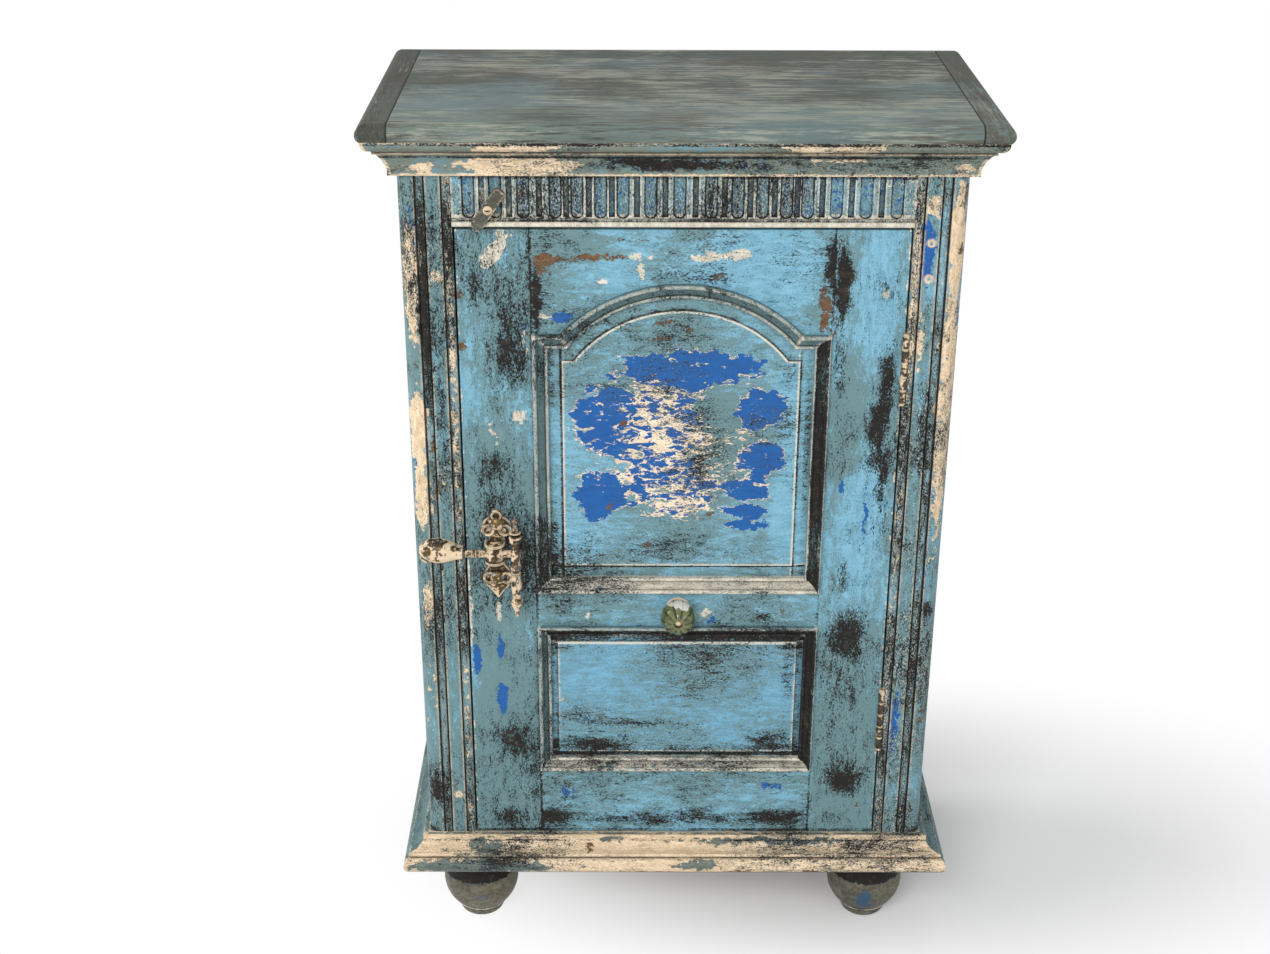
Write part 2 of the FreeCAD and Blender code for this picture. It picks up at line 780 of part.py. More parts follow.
def moulding_section(width):
    """Planted moulding, outer edge at 0: outer bead, quirk, cavetto and inner bead."""
    height = panel_margin_depth + moulding_proud - fit_gap
    outer_base = height - outer_bead_width / 2
    inner_top = height - inner_bead_drop
    inner_base = inner_top - inner_bead_width / 2
    inner_start = width - inner_bead_width
    quirk_base = outer_base - moulding_quirk
    return [
        (0, 0),
        (0, outer_base),
        (outer_bead_width / 2, height, outer_bead_width, outer_base),
        (outer_bead_width, quirk_base),
        (outer_bead_width + (inner_start - outer_bead_width) / 3,
         inner_base + (quirk_base - inner_base) / 3, inner_start, inner_base),
        (width - inner_bead_width / 2, inner_top, width, inner_base),
        (width, 0),
    ]


def moulding_strip(start, end, inner_end, inner_start, width):
    """A straight length between two outer corners, mitred to the two inner ones."""
    seat_y = margin_y - fit_gap
    run = Vector(end[0] - start[0], 0, end[1] - start[1])
    length = run.Length
    along = run.normalize()
    inward = Vector(along.z, 0, -along.x)
    if inward.dot(Vector(inner_start[0] - start[0], 0, inner_start[1] - start[1])) < 0:
        inward = inward * -1
    origin = Vector(start[0], 0, start[1]) - along * overrun

    def place(u, v):
        return origin + inward * u + Vector(0, seat_y - v, 0)

    strip = extrude(moulding_section(width), place, along * (length + 2 * overrun))
    zone = extrude([start, end, inner_end, inner_start], facing(front_y - overrun),
                   Vector(0, 2 * overrun, 0))
    return strip.common(zone)


def lower_mouldings():
    """The long and the short lengths round the lower panel."""
    outer = lower_points(0)
    inner = lower_points(-lower_moulding_width)
    strips = []
    for index in range(4):
        after = (index + 1) % 4
        strips.append(moulding_strip(outer[index], outer[after], inner[after], inner[index],
                                     lower_moulding_width))
    bottom, right, top, left = strips
    return Part.makeCompound([bottom, top]), Part.makeCompound([left, right])


def upper_mouldings():
    """Sides, foot and arched head of the upper panel's moulding."""
    width = upper_moulding_width
    outer = arch_points(0)
    inner = arch_points(-width)
    bottom = moulding_strip(outer[0], outer[1], inner[1], inner[0], width)
    right = moulding_strip(outer[1], outer[2], inner[2], inner[1], width)
    shoulder = moulding_strip(outer[2], outer[3], inner[3], inner[2], width)
    seat_y = margin_y - fit_gap
    section = moulding_section(width)
    ring = turned(section, lambda u, v: Vector(arch_radius - u, seat_y - v, arch_centre),
                  Vector(0, 0, arch_centre), Vector(0, 1, 0))
    slope_x = outer[3][0] - inner[3][0]
    slope_z = outer[3][1] - inner[3][1]
    far = arch_radius / width
    reach = (inner[3][0] + slope_x * far, inner[3][1] + slope_z * far)
    zone = extrude([inner[3], reach, (-reach[0], reach[1]), (-inner[3][0], inner[3][1])],
                   facing(front_y - overrun), Vector(0, 2 * overrun, 0))
    head = Part.makeCompound([ring.common(zone), shoulder, mirrored(shoulder)])
    return Part.makeCompound([mirrored(right), right]), bottom, head


# Hinges

def knuckle_spans(centre):
    pitch = hinge_length / knuckle_count
    low = centre - hinge_length / 2
    return [(low + index * pitch, low + (index + 1) * pitch) for index in range(knuckle_count)]


def hinge_leaf(centre, side):
    """A leaf in the gap beside the door: side 1 is on the post, side -1 is on the door."""
    spans = knuckle_spans(centre)
    own = spans[0::2] if side > 0 else spans[1::2]
    other = spans[1::2] if side > 0 else spans[0::2]
    near = hinge_x + side * leaf_gap / 2
    far = near + side * leaf_thickness
    x0, x1 = sorted((near, far))
    leaf = box(x0, x1, hinge_y, front_y + leaf_width, spans[0][0], spans[-1][1])
    for low, high in other:
        leaf = leaf.cut(rod(barrel_radius + seat_gap, Vector(hinge_x, hinge_y, low - fit_gap),
                            Vector(hinge_x, hinge_y, high + fit_gap)))
    for low, high in own:
        knuckle = rod(barrel_radius, Vector(hinge_x, hinge_y, low + fit_gap / 2),
                      Vector(hinge_x, hinge_y, high - fit_gap / 2))
        leaf = leaf.fuse(knuckle)
    leaf = leaf.cut(rod(pin_radius + pin_gap, Vector(hinge_x, hinge_y, spans[0][0] - overrun),
                        Vector(hinge_x, hinge_y, spans[-1][1] + overrun)))
    for row in screw_rows:
        leaf = leaf.cut(hinge_screw(centre + row, side, fit_gap))
    return leaf.removeSplitter()


def hinge_pocket(centre, side):
    """The gain for a leaf and its barrel in the door or the post."""
    spans = knuckle_spans(centre)
    low = spans[0][0] - fit_gap
    high = spans[-1][1] + fit_gap
    far = hinge_x + side * (leaf_gap / 2 + leaf_thickness + fit_gap)
    x0, x1 = sorted((hinge_x, far))
    gain = box(x0, x1, front_y - overrun, front_y + leaf_width + fit_gap, low, high)
    tip = pin_head_height + moving_gap
    barrel = rod(barrel_radius + moving_gap, Vector(hinge_x, hinge_y, low - tip),
                 Vector(hinge_x, hinge_y, high + tip))
    return gain.fuse(barrel)


def hinge_screw(z, side, grow):
    """A countersunk screw through a leaf, its head flush with the leaf's inner face."""
    face_x = hinge_x + side * leaf_gap / 2
    y = front_y + screw_depth_in
    way = Vector(side, 0, 0)
    head = Part.makeCone(screw_head_radius + grow, screw_radius + grow, leaf_thickness,
                         Vector(face_x, y, z), way)
    shank = Part.makeCylinder(screw_radius + grow, screw_length, Vector(face_x, y, z), way)
    return head.fuse(shank).removeSplitter()


def hinge_pin(centre):
    low = centre - hinge_length / 2
    high = centre + hinge_length / 2
    pin = rod(pin_radius, Vector(hinge_x, hinge_y, low), Vector(hinge_x, hinge_y, high))
    head = rod(pin_head_radius, Vector(hinge_x, hinge_y, high),
               Vector(hinge_x, hinge_y, high + pin_head_height))
    tail = rod(pin_head_radius, Vector(hinge_x, hinge_y, low - pin_head_height),
               Vector(hinge_x, hinge_y, low))
    return joined(pin, head, tail)


# Knob

def on_knob_axis(radius, proud):
    return Vector(radius, door_face_y - proud, knob_height)


def knob():
    """A melon-shaped ball on a short neck, grooved into lobes, with a recess for its screw."""
    centre = on_knob_axis(0, knob_centre_proud)
    ball = Part.makeSphere(knob_radius, centre)
    groove = [
        (knob_radius - knob_groove_depth, 0),
        (knob_radius + knob_groove_depth, knob_groove_width),
        (knob_radius + knob_groove_depth, -knob_groove_width),
    ]
    for index in range(knob_lobe_pairs):
        angle = math.pi * (index + 1 / 2) / knob_lobe_pairs
        across = Vector(math.cos(angle), 0, math.sin(angle))
        ball = ball.cut(turned(groove, lambda r, a: centre + Vector(0, r, 0) + across * a, centre, across))
    nose = knob_centre_proud + knob_radius - knob_nose
    ball = ball.cut(rod(knob_radius, on_knob_axis(0, nose), on_knob_axis(0, nose + overrun)))
    ball = ball.cut(rod(knob_radius, on_knob_axis(0, knob_collar_height), on_knob_axis(0, -overrun)))
    recess = nose - knob_screw_head_height - knob_nose
    ball = ball.cut(rod(knob_screw_head_radius + fit_gap, on_knob_axis(0, recess),
                        on_knob_axis(0, nose + overrun)))
    neck = rod(knob_neck_radius, on_knob_axis(0, knob_collar_height), on_knob_axis(0, knob_centre_proud / 2))
    body = ball.fuse(neck)
    body = body.cut(rod(knob_screw_radius + fit_gap, on_knob_axis(0, -overrun), on_knob_axis(0, overrun)))
    return body.removeSplitter()


def knob_collar():
    """Dished metal washer between the knob and the door."""
    profile = [
        (knob_screw_radius + fit_gap, 0),
        (knob_collar_radius, 0),
        (knob_collar_radius, knob_collar_height / 4),
        (knob_neck_radius + seat_gap, knob_collar_height),
        (knob_screw_radius + fit_gap, knob_collar_height),
    ]
    return turned(profile, on_knob_axis, on_knob_axis(0, 0), Vector(0, 1, 0))


def knob_screw():
    """Round-headed bolt through the knob and the rail."""
    nose = knob_centre_proud + knob_radius - knob_nose
    head_start = nose - knob_screw_head_height - knob_nose
    bolt_end = -door_thickness - knob_nut_height - knob_nose
    crown = head_start + knob_screw_head_height
    profile = [
        (0, bolt_end),
        (knob_screw_radius, bolt_end),
        (knob_screw_radius, head_start),
        (knob_screw_head_radius, head_start),
        dome(knob_screw_head_radius, head_start, crown),
    ]
    return turned(profile, on_knob_axis, on_knob_axis(0, 0), Vector(0, 1, 0))


def knob_nut():
    """Hexagonal nut behind the rail."""
    points = []
    for index in range(6):
        angle = math.pi * index / 3
        points.append((knob_nut_radius * math.cos(angle), knob_height + knob_nut_radius * math.sin(angle)))
    nut = extrude(points, facing(door_back_y), Vector(0, knob_nut_height, 0))
    return nut.cut(rod(knob_screw_radius + fit_gap, on_knob_axis(0, -door_thickness + overrun),
                       on_knob_axis(0, -door_thickness - overrun)))


# Turn button

def button_point(along, across):
    """A point on the button, measured along its length and across it, in the front view."""
    tilt = math.radians(button_tilt)
    x = button_x + along * math.cos(tilt) - across * math.sin(tilt)
    z = button_z + along * math.sin(tilt) + across * math.cos(tilt)
    return (x, z)


def turn_button():
    """A flat bar with clipped corners, turning on one screw."""
    half = button_width / 2
    inner = button_reach - button_corner
    narrow = half - button_corner
    points = [button_point(-inner, -half), button_point(inner, -half), button_point(button_reach, -narrow),
              button_point(button_reach, narrow), button_point(inner, half), button_point(-inner, half),
              button_point(-button_reach, narrow), button_point(-button_reach, -narrow)]
    back = button_back_y
    bar = extrude(points, facing(back - button_thickness), Vector(0, button_thickness, 0))
    return bar.cut(rod(button_screw_radius + pin_gap, Vector(button_x, front_y - overrun, button_z),
                       Vector(button_x, front_y + overrun, button_z)))


def button_screw():
    """Slotted screw and its washer, which carry the button clear of the bead below."""
    front = button_back_y - button_thickness - seat_gap
    crown = front - button_screw_head_height
    end = front_y + button_screw_length
    washer_front = button_back_y + seat_gap
    profile = [
        (0, -end),
        (button_screw_radius, button_screw_radius - end),
        (button_screw_radius, -front_y - flute_depth),
        (button_washer_radius, -front_y - flute_depth),
        (button_washer_radius, -washer_front),
        (button_screw_radius, -washer_front),
        (button_screw_radius, -front),
        (button_screw_head_radius, -front),
        dome(button_screw_head_radius, -front, -crown),
    ]
    screw = turned(profile, lambda r, y: Vector(button_x + r, -y, button_z),
                   Vector(button_x, 0, button_z), Vector(0, 1, 0))
    slot = box(button_x - overrun, button_x + overrun, crown - overrun, crown + button_screw_head_height / 2,
               button_z - button_slot_width / 2, button_z + button_slot_width / 2)
    return screw.cut(slot)


def button_screw_hole():
    """Seat for the washer and screw in the frieze rail."""
    shank = rod(button_screw_radius + fit_gap, Vector(button_x, front_y - overrun, button_z),
                Vector(button_x, front_y + overrun, button_z))
    seat = rod(button_washer_radius + fit_gap, Vector(button_x, front_y - overrun, button_z),
               Vector(button_x, front_y + flute_depth, button_z))
    return shank.fuse(seat)


# Latch

def scroll(x, base_y, z, radius, thickness, proud):
    """A cast curl: a ring with bevelled edges."""
    profile = [
        (radius - thickness, 0),
        (radius + thickness, 0),
        (radius + thickness, proud / 2),
        (radius + thickness / 2, proud),
        (radius - thickness / 2, proud),
        (radius - thickness, proud / 2),
    ]
    centre = Vector(x, base_y, z)
    return turned(profile, lambda r, out: centre + Vector(r, -out, 0), centre, Vector(0, 1, 0))


def cartouche(z, proud):
    """A domed shield on the plate."""
    rim = crest_width / 3
    profile = [(0, 0), (rim, 0), dome(rim, 0, proud)]
    return turned(profile, lambda r, out: Vector(latch_x + r, door_face_y - out, z),
                  Vector(latch_x, door_face_y, z), Vector(0, 1, 0))


def latch_plate():
    """Cast plate: ring finial, two scrolled cartouches and the banded boss that guides the bolt."""
    top = latch_z + crest_offset
    low = latch_z - crest_offset
    neck = plate_neck_width / 2
    wide = crest_width / 2
    high_end = latch_z + plate_top_reach
    low_end = latch_z - plate_bottom_reach
    quarter = crest_height / 4
    points = [
        (latch_x - neck, low + 2 * quarter),
        (latch_x - wide, low, latch_x - neck, low - 2 * quarter),
        (latch_x, low_end),
        (latch_x + neck, low - 2 * quarter),
        (latch_x + wide, low, latch_x + neck, low + 2 * quarter),
        (latch_x + neck, top - 2 * quarter),
        (latch_x + wide, top - quarter, latch_x + neck, top + quarter),
        (latch_x + finial_ring_radius, high_end - finial_ring_radius),
        (latch_x, high_end, latch_x - finial_ring_radius, high_end - finial_ring_radius),
        (latch_x - neck, top + quarter),
        (latch_x - wide, top - quarter, latch_x - neck, top - 2 * quarter),
    ]
    plate = extrude(points, facing(door_face_y - plate_thickness), Vector(0, plate_thickness, 0))
    half = boss_height / 2
    boss = boss_shape(boss_radius, latch_z - half, latch_z + half)
    band_radius = boss_radius + boss_band_proud
    upper_band = boss_shape(band_radius, latch_z + half - boss_band_height, latch_z + half)
    lower_band = boss_shape(band_radius, latch_z - half, latch_z - half + boss_band_height)
    curl_proud = plate_thickness + scroll_rod
    reach = wide - scroll_radius
    curls = [scroll(latch_x + side * reach, door_face_y, z, scroll_radius, scroll_rod, curl_proud)
             for side in (-1, 1) for z in (top - quarter, low)]
    finial = scroll(latch_x, door_face_y, high_end - finial_ring_radius, finial_ring_radius,
                    finial_ring_rod, curl_proud)
    shields = [cartouche(top, crest_proud), cartouche(low, crest_proud)]
    plate = plate.fuse([boss, upper_band, lower_band, finial] + shields + curls)
    bore = rod(latch_bolt_radius + pin_gap, Vector(latch_x - overrun, latch_y, latch_z),
               Vector(latch_x + overrun, latch_y, latch_z))
    return plate.cut(bore).removeSplitter()


def boss_shape(radius, low, high):
    """A half-round boss on straight cheeks."""
    x = latch_x - boss_offset
    start_y = door_face_y - boss_straight
    points = [(x - radius, door_face_y), (x - radius, start_y),
              (x, start_y - radius, x + radius, start_y), (x + radius, door_face_y)]
    return extrude(points, in_plan(low), Vector(0, 0, high - low))


def latch_bolt():
    """Round bolt with rings turned near its tip."""
    radius = latch_bolt_radius
    chamfer = radius / 4
    profile = [(0, latch_bolt_tip), (radius - chamfer, latch_bolt_tip), (radius, latch_bolt_tip + chamfer)]
    for index in range(bolt_ring_count):
        start = latch_bolt_tip + bolt_ring_start + 3 / 2 * index * bolt_ring_width
        profile.append((radius, start))
        profile.append((radius + bolt_ring_proud, start + bolt_ring_width / 2))
        profile.append((radius, start + bolt_ring_width))
    end = handle_x + latch_bolt_tail
    profile += [(radius, end), (0, end)]
    return turned(profile, lambda r, x: Vector(x, latch_y - r, latch_z),
                  Vector(0, latch_y, latch_z), Vector(1, 0, 0))


def handle_profile():
    """Radii and heights of the turned handle from its lower finial to its upper one."""
    low = latch_z - handle_bottom_reach
    high = latch_z + handle_top_reach
    shaft = handle_shaft_radius
    ring = handle_ring_radius
    cup = handle_cup_radius
    neck = handle_neck_radius
    ball = handle_ball_radius
    low_ring = latch_z - handle_bottom_reach * handle_low_ring_share
    high_ring = latch_z + handle_top_reach * handle_high_ring_share
    middle = latch_z - handle_bottom_reach * handle_middle_share
    step = ring / 3
    bow = math.sqrt(1 / 2)
    throat = neck * 3 / 2
    ball_half = math.sqrt(ball ** 2 - throat ** 2)
    ball_z = middle + step + ball_half
    ball_top = ball_z + ball_half
    return [
        (0, low),
        (neck * bow, low + neck * (1 - bow), neck, low + neck),
        (neck * bow, low + neck * (1 + bow) + step / 2),
        (cup, low_ring - 2 * step),
        (ring, low_ring - step),
        (cup, low_ring),
        (throat, low_ring + step),
        (shaft, low_ring + 2 * step),
        (shaft * 5 / 4, (low_ring + middle) / 2),
        (shaft, middle - 2 * step),
        (ring * 4 / 5, middle - 3 * step / 2),
        (shaft, middle - step),
        (ring * 4 / 5, middle - step / 2),
        (shaft, middle),
        (throat, middle + step),
        (ball, ball_z, throat, ball_top),
        (shaft, ball_top + step),
        (shaft * 9 / 8, (ball_top + high_ring) / 2 - step),
        (throat, high_ring - 4 * step),
        (cup, high_ring - 5 * step / 2),
        (cup, high_ring - step),
        (ring, high_ring - step / 2),
        (cup, high_ring),
        (neck, high_ring + step),
        (cup, high_ring + 2 * step),
        (neck, high_ring + 3 * step),
        (neck * bow, high - neck * (1 + bow)),
        (neck, high - neck, 0, high),
    ]


def latch_handle():
    """Turned upright handle with the arm and eye that fix it on the bolt."""
    handle = turned(handle_profile(), lambda r, z: Vector(handle_x + r, handle_y, z),
                    Vector(handle_x, handle_y, 0), Vector(0, 0, 1))
    arm = rod(arm_radius, Vector(handle_x, handle_y, latch_z), Vector(handle_x, latch_y, latch_z))
    eye = rod(eye_radius, Vector(handle_x - eye_length / 2, latch_y, latch_z),
              Vector(handle_x + eye_length / 2, latch_y, latch_z))
    bore = rod(latch_bolt_radius + pin_gap, Vector(handle_x - overrun, latch_y, latch_z),
               Vector(handle_x + overrun, latch_y, latch_z))
    return joined(handle, arm, eye).cut(bore)


def keeper_section(x, half_height, depth):
    """A round-topped section of the keeper at x."""
    y = front_y - depth + half_height
    z = latch_z
    points = [(front_y, z - half_height), (y, z - half_height),
              (front_y - depth, z, y, z + half_height), (front_y, z + half_height)]
    return outline(points, in_side_view(x))


def latch_keeper():
    """Cast leaf on the post, hollowed at its tip for the bolt."""
    axis_depth = front_y - latch_y
    tip_depth = axis_depth + keeper_tip_radius
    wide = keeper_widest / 2
    sections = [keeper_section(keeper_mouth, keeper_tip_radius, tip_depth)]
    for along, height, depth in keeper_shares:
        x = keeper_mouth - keeper_length * along
        sections.append(keeper_section(x, wide * height, tip_depth * depth))
    leaf = Part.makeLoft(sections, True, False)
    curl_x = keeper_mouth - keeper_length + scroll_radius + scroll_rod
    curl = scroll(curl_x, front_y, latch_z - wide / 2, scroll_radius, scroll_rod, 2 * scroll_rod)
    leaf = joined(leaf, curl)
    leaf = leaf.cut(mirrored(front_post()))
    return leaf.cut(rod(latch_bolt_radius + seat_gap, Vector(keeper_mouth + overrun, latch_y, latch_z),
                        Vector(keeper_mouth - keeper_bore_depth, latch_y, latch_z)))


def carcass():
    """Every piece of the standing body, by name."""
    pieces = {}
    pieces["top_board"], pieces["top_cleat_right"], pieces["top_cleat_left"] = top_pieces()
    pieces["cornice_front"], pieces["cornice_right"], pieces["cornice_left"] = cornice()
    front, right, left = base_moulding()
    pieces["base_moulding_front"] = front
    pieces["base_moulding_right"] = right
    pieces["base_moulding_left"] = left

    flat_middle = opening_half + post_bead_width + quirk_width + post_flat_width / 2
    left_pegs = [(-flat_middle, frieze_bottom - left_peg_drop),
                 (-flat_middle, bottom_board_top + left_peg_rise)]
    right_pegs = [(flat_middle, frieze_bottom - drop) for drop in right_peg_drops]
    plain_post = front_post()
    left = mirrored(plain_post).cut([peg(x, z, peg_radius) for x, z in left_pegs])
    right = plain_post.cut([peg(x, z, peg_radius) for x, z in right_pegs])
    for centre in hinge_centres:
        right = right.cut(hinge_pocket(centre, 1))
        right = right.cut([hinge_screw(centre + row, 1, fit_gap) for row in screw_rows])
    pieces["front_post_left"] = left
    pieces["front_post_right"] = right
    pieces["post_pegs"] = Part.makeCompound([peg(x, z, peg_radius) for x, z in left_pegs + right_pegs])

    post = rear_post()
    pieces["rear_post_right"] = post
    pieces["rear_post_left"] = mirrored(post)
    low_rail = side_rail(base_bottom, base_bottom + side_bottom_rail_height, True)
    high_rail = side_rail(top_underside - side_top_rail_height, top_underside, False)
    panel = side_panel()
    pieces["side_rails_right"] = Part.makeCompound([low_rail, high_rail])
    pieces["side_rails_left"] = Part.makeCompound([mirrored(low_rail), mirrored(high_rail)])
    pieces["side_panel_right"] = panel
    pieces["side_panel_left"] = mirrored(panel)

    pieces["frieze_rail"] = frieze_rail().cut(button_screw_hole())
    pieces["bottom_rail"] = bottom_rail()
    pieces["bottom_board"] = notched_board(bottom_board_top - board_thickness, bottom_board_top,
                                           front_y + bottom_rail_thickness + fit_gap)
    pieces["shelf"] = notched_board(shelf_top - board_thickness, shelf_top, stop_back_y + fit_gap)
    cleat = shelf_cleat()
    pieces["shelf_cleats"] = Part.makeCompound([cleat, mirrored(cleat)])
    pieces["door_stop"] = door_stop()
    back_rails = [back_rail(bottom_board_top - board_thickness, base_bottom + back_rail_height),
                  back_rail(top_underside - back_rail_height, top_underside)]
    pieces["back_rails"] = Part.makeCompound(back_rails)
    for index, side in enumerate(("left", "middle", "right")):
        pieces["back_board_" + side] = back_board(index)

    foot_x = half_body - foot_inset
    blocks = []
    ends = {"front": (front_y + foot_inset, front_y + post_depth, front_y + post_depth + foot_block_size),
            "rear": (rear_y - foot_inset, rear_post_y - foot_block_size, rear_post_y)}
    for end, (y, block_low, block_high) in ends.items():
        for side, x in (("left", -foot_x), ("right", foot_x)):
            pieces["foot_" + end + "_" + side] = foot(x, y)
            blocks.append(foot_block(x, y, block_low, block_high))
    pieces["foot_blocks"] = Part.makeCompound(blocks)

    pieces["hinge_post_leaves"] = Part.makeCompound([hinge_leaf(centre, 1) for centre in hinge_centres])
    pieces["hinge_pins"] = Part.makeCompound([hinge_pin(centre) for centre in hinge_centres])
    screws = [hinge_screw(centre + row, 1, 0) for centre in hinge_centres for row in screw_rows]
    pieces["hinge_post_screws"] = Part.makeCompound(screws)
    pieces["button_screw"] = button_screw()
    pieces["latch_keeper"] = latch_keeper()
    return pieces


def door():
    """Every piece that swings on the hinges, by name."""
    pieces = {}
    upper_slot = panel_slot(arch_points)
    lower_slot = panel_slot(lower_points)
    stile = door_stile()
    pieces["door_stile_left"] = mirrored(stile)
    right = stile
    for centre in hinge_centres:
        right = right.cut(hinge_pocket(centre, -1))
        right = right.cut([hinge_screw(centre + row, -1, fit_gap) for row in screw_rows])
    pieces["door_stile_right"] = right

    top_rail = door_rail(arch_shoulder, door_top, arch_shoulder + groove_depth, door_top, [upper_slot])
    opening = extrude(arch_points(0), facing(front_y - overrun), Vector(0, 2 * overrun, 0))
    deep_opening = extrude(arch_points(groove_depth), facing(groove_y), Vector(0, groove_width, 0))
    pieces["door_top_rail"] = top_rail.cut([opening, deep_opening])
    mid_rail = door_rail(mid_rail_bottom, mid_rail_top, mid_rail_bottom + groove_depth,
                         mid_rail_top - groove_depth, [upper_slot, lower_slot])
    pieces["door_mid_rail"] = mid_rail.cut(rod(knob_screw_radius + fit_gap, on_knob_axis(0, overrun),
                                               on_knob_axis(0, -overrun)))
    pieces["door_bottom_rail"] = door_rail(door_bottom, bottom_rail_top, door_bottom,
                                           bottom_rail_top - groove_depth, [lower_slot])
    pieces["upper_panel"] = door_panel(arch_points, upper_moulding_width, upper_field_margin)
    pieces["lower_panel"] = door_panel(lower_points, lower_moulding_width, lower_field_margin)
    sides, bottom, head = upper_mouldings()
    pieces["upper_moulding_sides"] = sides
    pieces["upper_moulding_foot"] = bottom
    pieces["upper_moulding_arch"] = head
    pieces["lower_moulding_rails"], pieces["lower_moulding_sides"] = lower_mouldings()

    pieces["hinge_door_leaves"] = Part.makeCompound([hinge_leaf(centre, -1) for centre in hinge_centres])
    screws = [hinge_screw(centre + row, -1, 0) for centre in hinge_centres for row in screw_rows]
    pieces["hinge_door_screws"] = Part.makeCompound(screws)
    pieces["knob"] = knob()
    pieces["knob_collar"] = knob_collar()
    pieces["knob_bolt"] = Part.makeCompound([knob_screw(), knob_nut()])
    pieces["latch_plate"] = latch_plate()
    return pieces


def fittings():
    """The pieces that move by themselves."""
    return {"turn_button": turn_button(), "latch_bolt": latch_bolt(), "latch_handle": latch_handle()}


for name, shape in {**carcass(), **door(), **fittings()}.items():
    shape.exportStep("parts/" + name + ".step")
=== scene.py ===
import math

import bpy
from mathutils import Matrix, Vector


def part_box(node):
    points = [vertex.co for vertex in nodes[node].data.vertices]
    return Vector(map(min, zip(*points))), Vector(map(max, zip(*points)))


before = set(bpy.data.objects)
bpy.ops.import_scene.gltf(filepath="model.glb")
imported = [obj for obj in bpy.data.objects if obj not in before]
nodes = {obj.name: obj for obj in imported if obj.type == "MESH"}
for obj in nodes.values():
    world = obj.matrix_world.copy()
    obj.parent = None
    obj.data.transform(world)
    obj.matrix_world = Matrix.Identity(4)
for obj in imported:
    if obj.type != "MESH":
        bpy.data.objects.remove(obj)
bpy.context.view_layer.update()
MM = 0.001

# The camera: lens, place and turn, as the photograph was taken
LENS = 52.99
SENSOR_WIDTH = 36.0
CAMERA_PLACE = (-0.04743, -1.7590, 1.31451)
CAMERA_TILT = 64.91
CAMERA_YAW = -0.15
CAMERA_ROLL = 0.18

# The studio: square soft lamps, each with its place, size and power, in a white surround
LAMP_AIM = (0.0, 0.0, 0.42)
LAMPS = {
    "key": ((-0.9, -2.9, 2.2), 1.6, 72.0),
    "fill": ((2.0, -2.6, 1.4), 2.2, 18.0),
    "top": ((0.1, 0.3, 3.0), 1.8, 8.0),
    "side": ((-2.6, 0.55, 1.7), 1.5, 52.0),
}
SURROUND_LIGHT = 0.40
PLAIN_WHITE = (1.0, 1.0, 1.0, 1.0)
# The pale floor shows the shadow in an oval, and fades to white between two shares of its radii
FLOOR_HALF = 12.0
FLOOR_GREY = 0.80
FLOOR_LIFT = 0.09
SHADE_MIDDLE = Vector((0.26, 0.08, 0.0))
SHADE_RADII = (0.64, 0.34, 1.0)
SHADE_FADE = (0.35, 1.05)


def srgb(red, green, blue):
    """A colour as the eye reads it, 0 to 255, in the linear values that a shader takes."""
    shares = [value / 255 for value in (red, green, blue)]
    linear = [((v + 0.055) / 1.055) ** 2.4 if v > 0.04045 else v / 12.92 for v in shares]
    return (*linear, 1.0)


# Top coats, and what they have gone to
SKY = srgb(130, 184, 208)
SKY_DEEP = srgb(100, 150, 170)
PANEL_SKY = srgb(116, 172, 200)
PANEL_DEEP = srgb(98, 148, 172)
TEAL = srgb(100, 132, 136)
TEAL_GREY = srgb(84, 108, 110)
WASH = srgb(114, 122, 110)
WASH_DEEP = srgb(78, 92, 90)
NAVY = srgb(48, 78, 104)
FOOT_GREY = srgb(112, 110, 94)
FOOT_BROWN = srgb(74, 66, 50)

# The coats below, the wood and the dirt, with soot and grime also as painted shade and chalk as painted
# highlight
ROYAL = srgb(14, 92, 162)
ROYAL_DEEP = srgb(14, 78, 144)
CREAM = srgb(240, 217, 186)
CREAM_OLD = srgb(196, 172, 138)
FIELD_CREAM = srgb(247, 231, 206)
FIELD_CREAM_OLD = srgb(220, 198, 168)
PUTTY = srgb(226, 220, 204)
PUTTY_OLD = srgb(176, 168, 150)
CHALK_AND_HIGHLIGHT = srgb(206, 206, 194)
WOOD = srgb(126, 90, 56)
WOOD_DARK = srgb(72, 50, 34)
GRIME_AND_SHADE = srgb(56, 76, 80)
SOOT_AND_SHADE = srgb(20, 18, 16)
SOOT_AND_SHADE_SOFT = srgb(48, 40, 32)

# The top, the unpainted timber, the hardware and the knob
TOP_GREEN = srgb(104, 116, 108)
TOP_DARK = srgb(62, 68, 62)
TOP_PALE = srgb(158, 162, 148)
TOP_BLUE = srgb(84, 106, 118)
TOP_BROWN = srgb(80, 72, 60)
TOP_DIRT = srgb(54, 50, 42)
BARE_WOOD = srgb(136, 106, 78)
BARE_WOOD_DARK = srgb(92, 68, 48)
IRON = srgb(58, 52, 46)
BRASS = srgb(98, 80, 50)
BRASS_DARK = srgb(42, 33, 22)
OLIVE = srgb(66, 74, 28)
OLIVE_PALE = srgb(98, 106, 50)
OLIVE_DARK = srgb(28, 32, 12)
WHITE_CLAY_AND_HIGHLIGHT = srgb(250, 248, 242)

# How many rays find how enclosed a point is
SHELTER_SAMPLES = 3


